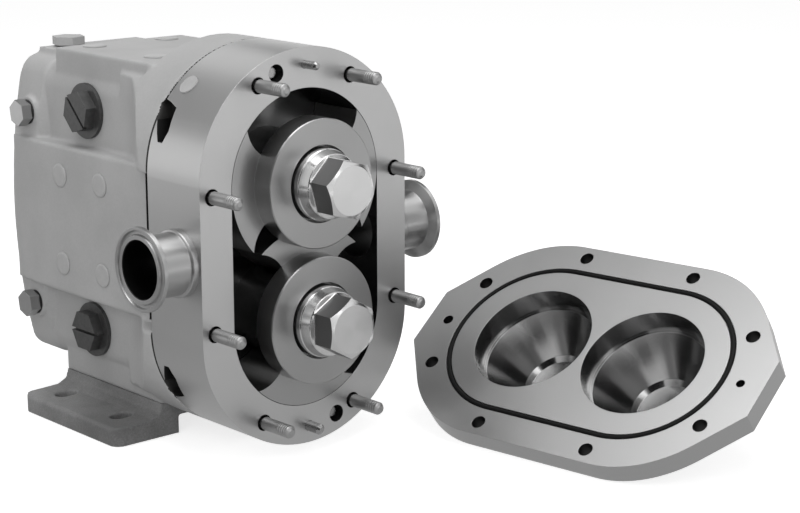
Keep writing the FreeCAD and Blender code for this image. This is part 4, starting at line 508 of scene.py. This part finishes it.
# How far from the plane between the shafts the chamber ends, and the rim that holds the holes.
CHAMBER, RIM = 0.0565, 0.0785
stood = Matrix.Translation((0, BODY_FACE, PORT_HEIGHT))
body = placed_copy("pump_body", "pump_body_machined", "pump", satin_stainless, stood)


def spine_range(face, data):
    """The nearest and farthest corner of a face from the plane between the body's two bores."""
    away = [from_spine(data.vertices[i].co.x, data.vertices[i].co.z) for i in face.vertices]
    return min(away), max(away)


def in_chamber(face):
    """True for the walls of the two bores and the hubs in them."""
    return spine_range(face, body.data)[1] < CHAMBER and face.center.y > 0.0004


def in_body_hole(face):
    """True for the walls of the holes in the body's rim, between its front and its outer side."""
    nearest, farthest = spine_range(face, body.data)
    return 0.0005 < face.center.y < BODY_BACK and farthest > CHAMBER and nearest < RIM


finish_inside(body, bored_stainless_shaded, in_chamber)
finish_inside(body, drilled_and_shaded, in_body_hole)
keep_place(body, stood)
dress(painted_plastic, "body_edge_plugs")

# Port ferrules
# Turned stainless tube ends with a clamp rim, welded into the body's sides and left as they came off
# the lathe, with long highlights along the tube.
def ring_pattern(tree, place, spacing):
    """Marks of a lathe tool round the Z axis, so many millimetres apart."""
    parts = add(tree, "SeparateXYZ", {0: place})
    flat = add(tree, "CombineXYZ", {0: parts.outputs[0], 1: parts.outputs[1]})
    radius = add(tree, "VectorMath", {0: flat.outputs[0]}, operation="LENGTH")
    unrolled = add(tree, "CombineXYZ", {0: radius.outputs["Value"], 1: parts.outputs[2]})
    return add(tree, "TexNoise", {"Vector": unrolled.outputs[0], "Scale": per_mm(spacing), "Detail": 3.0,
                                  "Roughness": 0.65}).outputs[0]


def turned_steel(name, colour, spacing, depth, gloss_low, gloss_high, fan=0.0):
    """Bright steel from the lathe, with rings that spread its highlights into fans."""
    new, tree = material(name)
    place = add(tree, "TexCoord").outputs["Object"]
    rings = ring_pattern(tree, place, spacing)
    gloss = add(tree, "MapRange", {"Value": rings, "To Min": gloss_low, "To Max": gloss_high})
    shader = {"Base Color": linear(colour), "Metallic": 1.0, "Roughness": gloss.outputs[0]}
    if fan:
        round_it = add(tree, "VectorMath", {0: (0, 0, 1), 1: place}, operation="CROSS_PRODUCT")
        in_world = add(tree, "VectorTransform", {0: round_it.outputs[0]}, vector_type="VECTOR",
                       convert_from="OBJECT", convert_to="WORLD")
        unit = add(tree, "VectorMath", {0: in_world.outputs[0]}, operation="NORMALIZE")
        shader["Anisotropic"], shader["Anisotropic Rotation"] = fan, 0.25
        shader["Tangent"] = unit.outputs[0]
    surface(tree, shader, [(rings, depth)], edge=0.35)
    return new


def ring_mesh(name, rings, closed):
    """A smooth piece through rings of (height, radius), one pair for each step round its Z axis."""
    steps = len(rings[0])
    corners = [(r * math.cos(2 * math.pi * i / steps), r * math.sin(2 * math.pi * i / steps), z)
               for ring in rings for i, (z, r) in enumerate(ring)]
    faces = []
    for k in range(len(rings) - (not closed)):
        near, far = k * steps, (k + 1) % len(rings) * steps
        faces += [(near + i, near + (i + 1) % steps, far + (i + 1) % steps, far + i) for i in range(steps)]
    if not closed:
        faces += [tuple(range(steps)), tuple(range(len(corners) - steps, len(corners)))]
    piece = mesh_piece(name, corners, faces)
    shape = bmesh.new()
    shape.from_mesh(piece.data)
    bmesh.ops.recalc_face_normals(shape, faces=shape.faces)
    for face in shape.faces:
        face.smooth = True
    shape.to_mesh(piece.data)
    shape.free()
    piece.data.set_sharp_from_angle(angle=math.radians(20))
    return piece


turned_stainless = turned_steel("turned stainless steel", "B0B0B0", 0.7, 0.01, 0.24, 0.42, fan=0.75)
# From the body outwards: weld collar, tube, clamp cone, rim, and a face with the gasket's groove.
# Each pair is how far out from the body's side, and the radius, in millimetres.
profile = ((0, 20.65), (3.6, 20.65), (4.2, 20.2), (4.7, 19.05), (22.8, 19.05), (25, 24.9), (25.3, 25.25),
           (27.7, 25.25), (28, 24.95), (28, 23.3), (26.5, 22.6), (26.5, 21), (28, 20.3), (28, 17.9),
           (27.6, 17.5), (0, 17.5))
rings = [[(z / 1000, r / 1000)] * 120 for z, r in profile]
for side, out in (("left", -1), ("right", 1)):
    ferrule = ring_mesh(side + "_port_ferrule_turned", rings, True)
    ferrule.matrix_world = (Matrix.Translation((0.079 * out, -0.1198, PORT_HEIGHT))
                            @ Matrix.Rotation(math.radians(90 * out), 4, "Y"))
    ferrule.data.materials.append(turned_stainless)
    # The ferrule's bore is drawn dark as painted shade.
    finish_inside(ferrule, drilled_and_shaded, lambda face: math.hypot(face.center.x, face.center.y) < 0.0177)
    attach(ferrule, "pump")
    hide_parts(side + "_port_ferrule")

# Cover studs, dowels and body retaining nuts
# Stainless studs with rolled threads on their outer third, blasted dull, two ground dowel pins, and
# two bright turned nuts, sunk into the face, that keep the body on the case when the cover is off.
rolled, tree = material("stainless studs with rolled threads")
place = add(tree, "TexCoord").outputs["Object"]
parts = add(tree, "SeparateXYZ", {0: place})
# The real thread is 1.25 mm from turn to turn, too fine for the picture, so it is drawn at 2 mm.
turns = add(tree, "TexWave", {"Vector": place, "Scale": 2 * math.pi / (20 * 0.002)}, bands_direction="Y")
blast = add(tree, "TexNoise", {"Vector": place, "Scale": per_mm(0.7), "Detail": 3.0})
gloss = add(tree, "MapRange", {"Value": blast.outputs[0], "To Min": 0.3, "To Max": 0.5})
# It starts 17 mm in front of the body's face.
threaded = add(tree, "MapRange", {"Value": parts.outputs[1], "From Min": -0.1595, "From Max": -0.1585,
                                  "To Min": 1.0, "To Max": 0.0})
height = add(tree, "Math", {0: turns.outputs["Fac"], 1: threaded.outputs[0]}, operation="MULTIPLY")
surface(tree, {"Base Color": linear("A6A6A6"), "Metallic": 1.0, "Roughness": gloss.outputs[0]},
        [(height.outputs[0], 0.35), (blast.outputs[0], 0.03)], edge=0.4)
dress(rolled, "cover_studs")
dress(ground_steel, "upper_dowel_pin", "lower_dowel_pin", "body_retaining_studs")
bright_nuts = turned_steel("bright turned steel nuts", "E2E2E2", 0.6, 0.01, 0.4, 0.55)
dress(bright_nuts, "body_retaining_nuts")

# Shaft seals
# A carbon ring turns with each rotor against a fixed ring in the hub, both lapped to a dark silky
# black, and a rubber slinger keeps what leaks away from the bearings.
carbon = fine_grained("lapped carbon graphite", "2E2E2E", 0.6, 2.0, (0.28, 0.4), 0.01, 0.3, IOR=1.7)
dress(carbon, "drive_seal_ring", "driven_seal_ring", "drive_seal_seat", "driven_seal_seat")
dress(nitrile, "drive_slinger", "driven_slinger")

# Shafts
# Stainless shafts, ground smooth and bright, on which everything that turns is clamped. The drive
# shaft comes out at the back, with a keyway for the coupling's key.
bright_ground = turned_steel("ground stainless steel", "B0B0B0", 0.4, 0.004, 0.16, 0.26)


def turned_copy(node, name, body, finish, centre):
    """A copy of a turned node whose own Z axis is the lathe's, so that the tool marks run round it."""
    ahead = Matrix.Rotation(math.radians(90), 4, "X")
    return placed_copy(node, name, body, finish, Matrix.Translation(centre) @ ahead)


for shaft, height in SHAFTS.items():
    turned_copy(shaft + "_shaft", shaft + "_shaft_ground", shaft, bright_ground,
                (0, 0, height))

# Rotors
# Each is turned from one billet: a broad barrel in front and two arc wings that run round the hub.
# The fine turning leaves them satin, with short fans of light.
rotor_stainless = turned_steel("fine-turned stainless steel", "A6A6A6", 0.45, 0.004, 0.26, 0.36, fan=0.3)
# How far the arc of a wing, and the flat that the solid has instead, are from the shaft's axis.
WING, FLAT = 0.0557, 0.0507


def round_wings(piece):
    """Runs the outer face of each wing round its arc, where the solid underneath stops at a flat."""
    for layer in [layer for layer in piece.data.attributes if layer.name == "custom_normal"]:
        piece.data.attributes.remove(layer)
    shape = bmesh.new()
    shape.from_mesh(piece.data)
    bmesh.ops.remove_doubles(shape, verts=shape.verts, dist=1e-6)
    shape.normal_update()
    flats = [face for face in shape.faces if abs(face.normal.z) < 0.05
             and abs(face.normal.dot(face.calc_center_median()) - FLAT) < 1e-5]
    outwards = []
    for face in flats:
        if not any(face.normal.dot(other) > 0.99 for other in outwards):
            outwards.append(face.normal.copy())
    bmesh.ops.delete(shape, geom=flats, context="FACES")
    for out in outwards:
        along = Vector((0, 0, 1)).cross(out)
        rims = [edge for edge in shape.edges if edge.is_boundary and all(
            abs(point.co.dot(out) - FLAT) < 1e-5 for point in edge.verts) and abs(
            (edge.verts[0].co - edge.verts[1].co).dot(along)) > 0.001]
        bmesh.ops.subdivide_edges(shape, edges=rims, cuts=24)
        rim = [point for point in shape.verts if abs(point.co.dot(out) - FLAT) < 1e-5]
        middle = sum(point.co.z for point in rim) / len(rim)
        strips = [sorted((point for point in rim if (point.co.z > middle) == front),
                         key=lambda point: point.co.dot(along)) for front in (True, False)]
        for strip in strips:
            wide = math.asin(strip[-1].co.dot(along) / WING)
            for i, point in enumerate(strip):
                angle = wide * (2 * i / (len(strip) - 1) - 1)
                point.co = ((out * math.cos(angle) + along * math.sin(angle)) * WING
                            + Vector((0, 0, point.co.z)))
        for i in range(len(strips[0]) - 1):
            shape.faces.new((strips[0][i], strips[0][i + 1], strips[1][i + 1], strips[1][i]))
    bmesh.ops.recalc_face_normals(shape, faces=shape.faces)
    for face in shape.faces:
        face.smooth = True
    shape.to_mesh(piece.data)
    shape.free()
    piece.data.set_sharp_from_angle(angle=math.radians(28))


for shaft, height in SHAFTS.items():
    round_wings(turned_copy(shaft + "_rotor", shaft + "_rotor_turned", shaft, rotor_stainless,
                            (0, BODY_FACE, height)))

# Rotor nuts
# Capped hexagon nuts with a polished collar over a disc spring, turned from bar. The collar and the
# cap are bright, and the milled flats are duller from the cutter and drawn darker as painted shade.
nut_stainless = turned_steel("polished stainless nuts", "D0D0D0", 0.5, 0.003, 0.18, 0.28, fan=0.4)
milled_flats_shaded = fine_grained("milled flats of stainless nuts, darkened as painted shade", "7E7E7E", 0.7, 3.0, (0.3, 0.42), 0.012, 0.3,
                            Metallic=1.0)


def rotor_nut(shaft, turn):
    """A collar, a shoulder, six flats with bevelled corners and a face, turned so many degrees."""
    corner, half_flats, root, crown, bevel = 0.01885, 0.0163, 0.0262, 0.0431, 0.57
    steps = 96
    hexagon = [half_flats / math.cos((i * 2 * math.pi / steps) % (math.pi / 3) - math.pi / 6)
               for i in range(steps)]
    rings = [[(z, r)] * steps for z, r in (
        (0.0375, 0.0096), (0.0072, 0.0096), (0.0072, 0.022), (0.0182, 0.022), (0.0188, 0.0218),
        (0.0194, 0.0213), (0.0254, 0.0196), (0.0258, 0.0192))]
    rings.append([(root, r + 0.0004) for r in hexagon])
    rings.append([(root + 0.0004, r) for r in hexagon])
    rings.append([(crown - 0.0022 + (corner - r) * bevel, r) for r in hexagon])
    rings.append([(crown - 0.0002, 0.0153)] * steps)
    rings.append([(crown, 0.0149)] * steps)
    piece = ring_mesh(shaft + "_rotor_nut_milled", rings, False)
    piece.matrix_world = (Matrix.Translation((0, BODY_FACE, SHAFTS[shaft]))
                          @ Matrix.Rotation(math.radians(90), 4, "X")
                          @ Matrix.Rotation(math.radians(turn), 4, "Z"))
    piece.data.materials.append(nut_stainless)
    finish_inside(piece, milled_flats_shaded, lambda face: abs(face.normal.z) < 0.05 and 0.027 < face.center.z)
    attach(piece, shaft)
    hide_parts(shaft + "_rotor_nut")


rotor_nut("drive", 30)
rotor_nut("driven", 45)
dress(ground_steel, "drive_nut_disc_spring", "driven_nut_disc_spring")

# Front cover and its seal
# A stainless plate with two deep turned recesses for the rotor barrels, taken off and laid on its
# long edge and its domes, face up. A rubber ring lies in its groove.

# Its width leans 37 degrees from level, and its length lies 7 degrees off the line of the shafts.
tilt, turn = math.radians(37.04), math.radians(-82.7)
long_axis = Vector((math.cos(turn), math.sin(turn), 0))
level = Vector((-math.sin(turn), math.cos(turn), 0))
across = level * math.cos(tilt) + Vector((0, 0, math.sin(tilt)))
facing = Vector((0, 0, math.cos(tilt))) - level * math.sin(tilt)
laid = Matrix.Translation((0.146, -0.237, 0.0587)) @ Matrix((across, facing, long_axis)).transposed().to_4x4()

# The milled face is satin, and the recesses are turned brighter and draw the light into sharp fans. Their
# colour is a little darker, as painted shade.
cover_stainless = lapped("milled stainless plate", "A6A6A6", 0.06, 30, slanted=True)
recess_stainless_shaded = paired_bores("turned stainless recesses, darkened as painted shade", "9A9A9A", 0.9, 0.006, 0.12, 0.2, 0.9, across,
                                long_axis)
plate = placed_copy("front_cover", "front_cover_milled", "cover", cover_stainless, laid)


# A recess's radius, the thickness of the plate's rim, and how far out its holes begin and end.
RECESS, PLATE, HOLES_IN, HOLES_OUT = 0.0402, 0.0137, 0.063, 0.0755


def in_recess(face):
    """True for the walls and the floor of a recess, whose faces look inwards or up."""
    out = face.center - Vector((0, face.center.y, math.copysign(HALF_CENTRES, face.center.z)))
    in_circle = out.length < RECESS and face.center.y < -0.0003
    return in_circle and face.normal.y > -0.5 and face.normal.dot(out) < 0.0001


def in_hole(face):
    """True for the walls of the holes that the studs and dowels go through."""
    nearest, farthest = spine_range(face, plate.data)
    return -PLATE < face.center.y < -0.0003 and nearest > HOLES_IN and farthest < HOLES_OUT


finish_inside(plate, recess_stainless_shaded, in_recess)
# The cover's holes are drawn dark as painted shade.
finish_inside(plate, drilled_and_shaded, in_hole)
keep_place(plate, laid)

# Moulded rubber, dusted dull, that shows as a plain black line.
black_ring = fine_grained("moulded black rubber seal ring", "0A0A0A", 0.8, 3.0, (0.5, 0.7), 0.02, 0.3,
                          IOR=1.45, **{"Specular IOR Level": 0.2})
dress(black_ring, "cover_seal_ring")
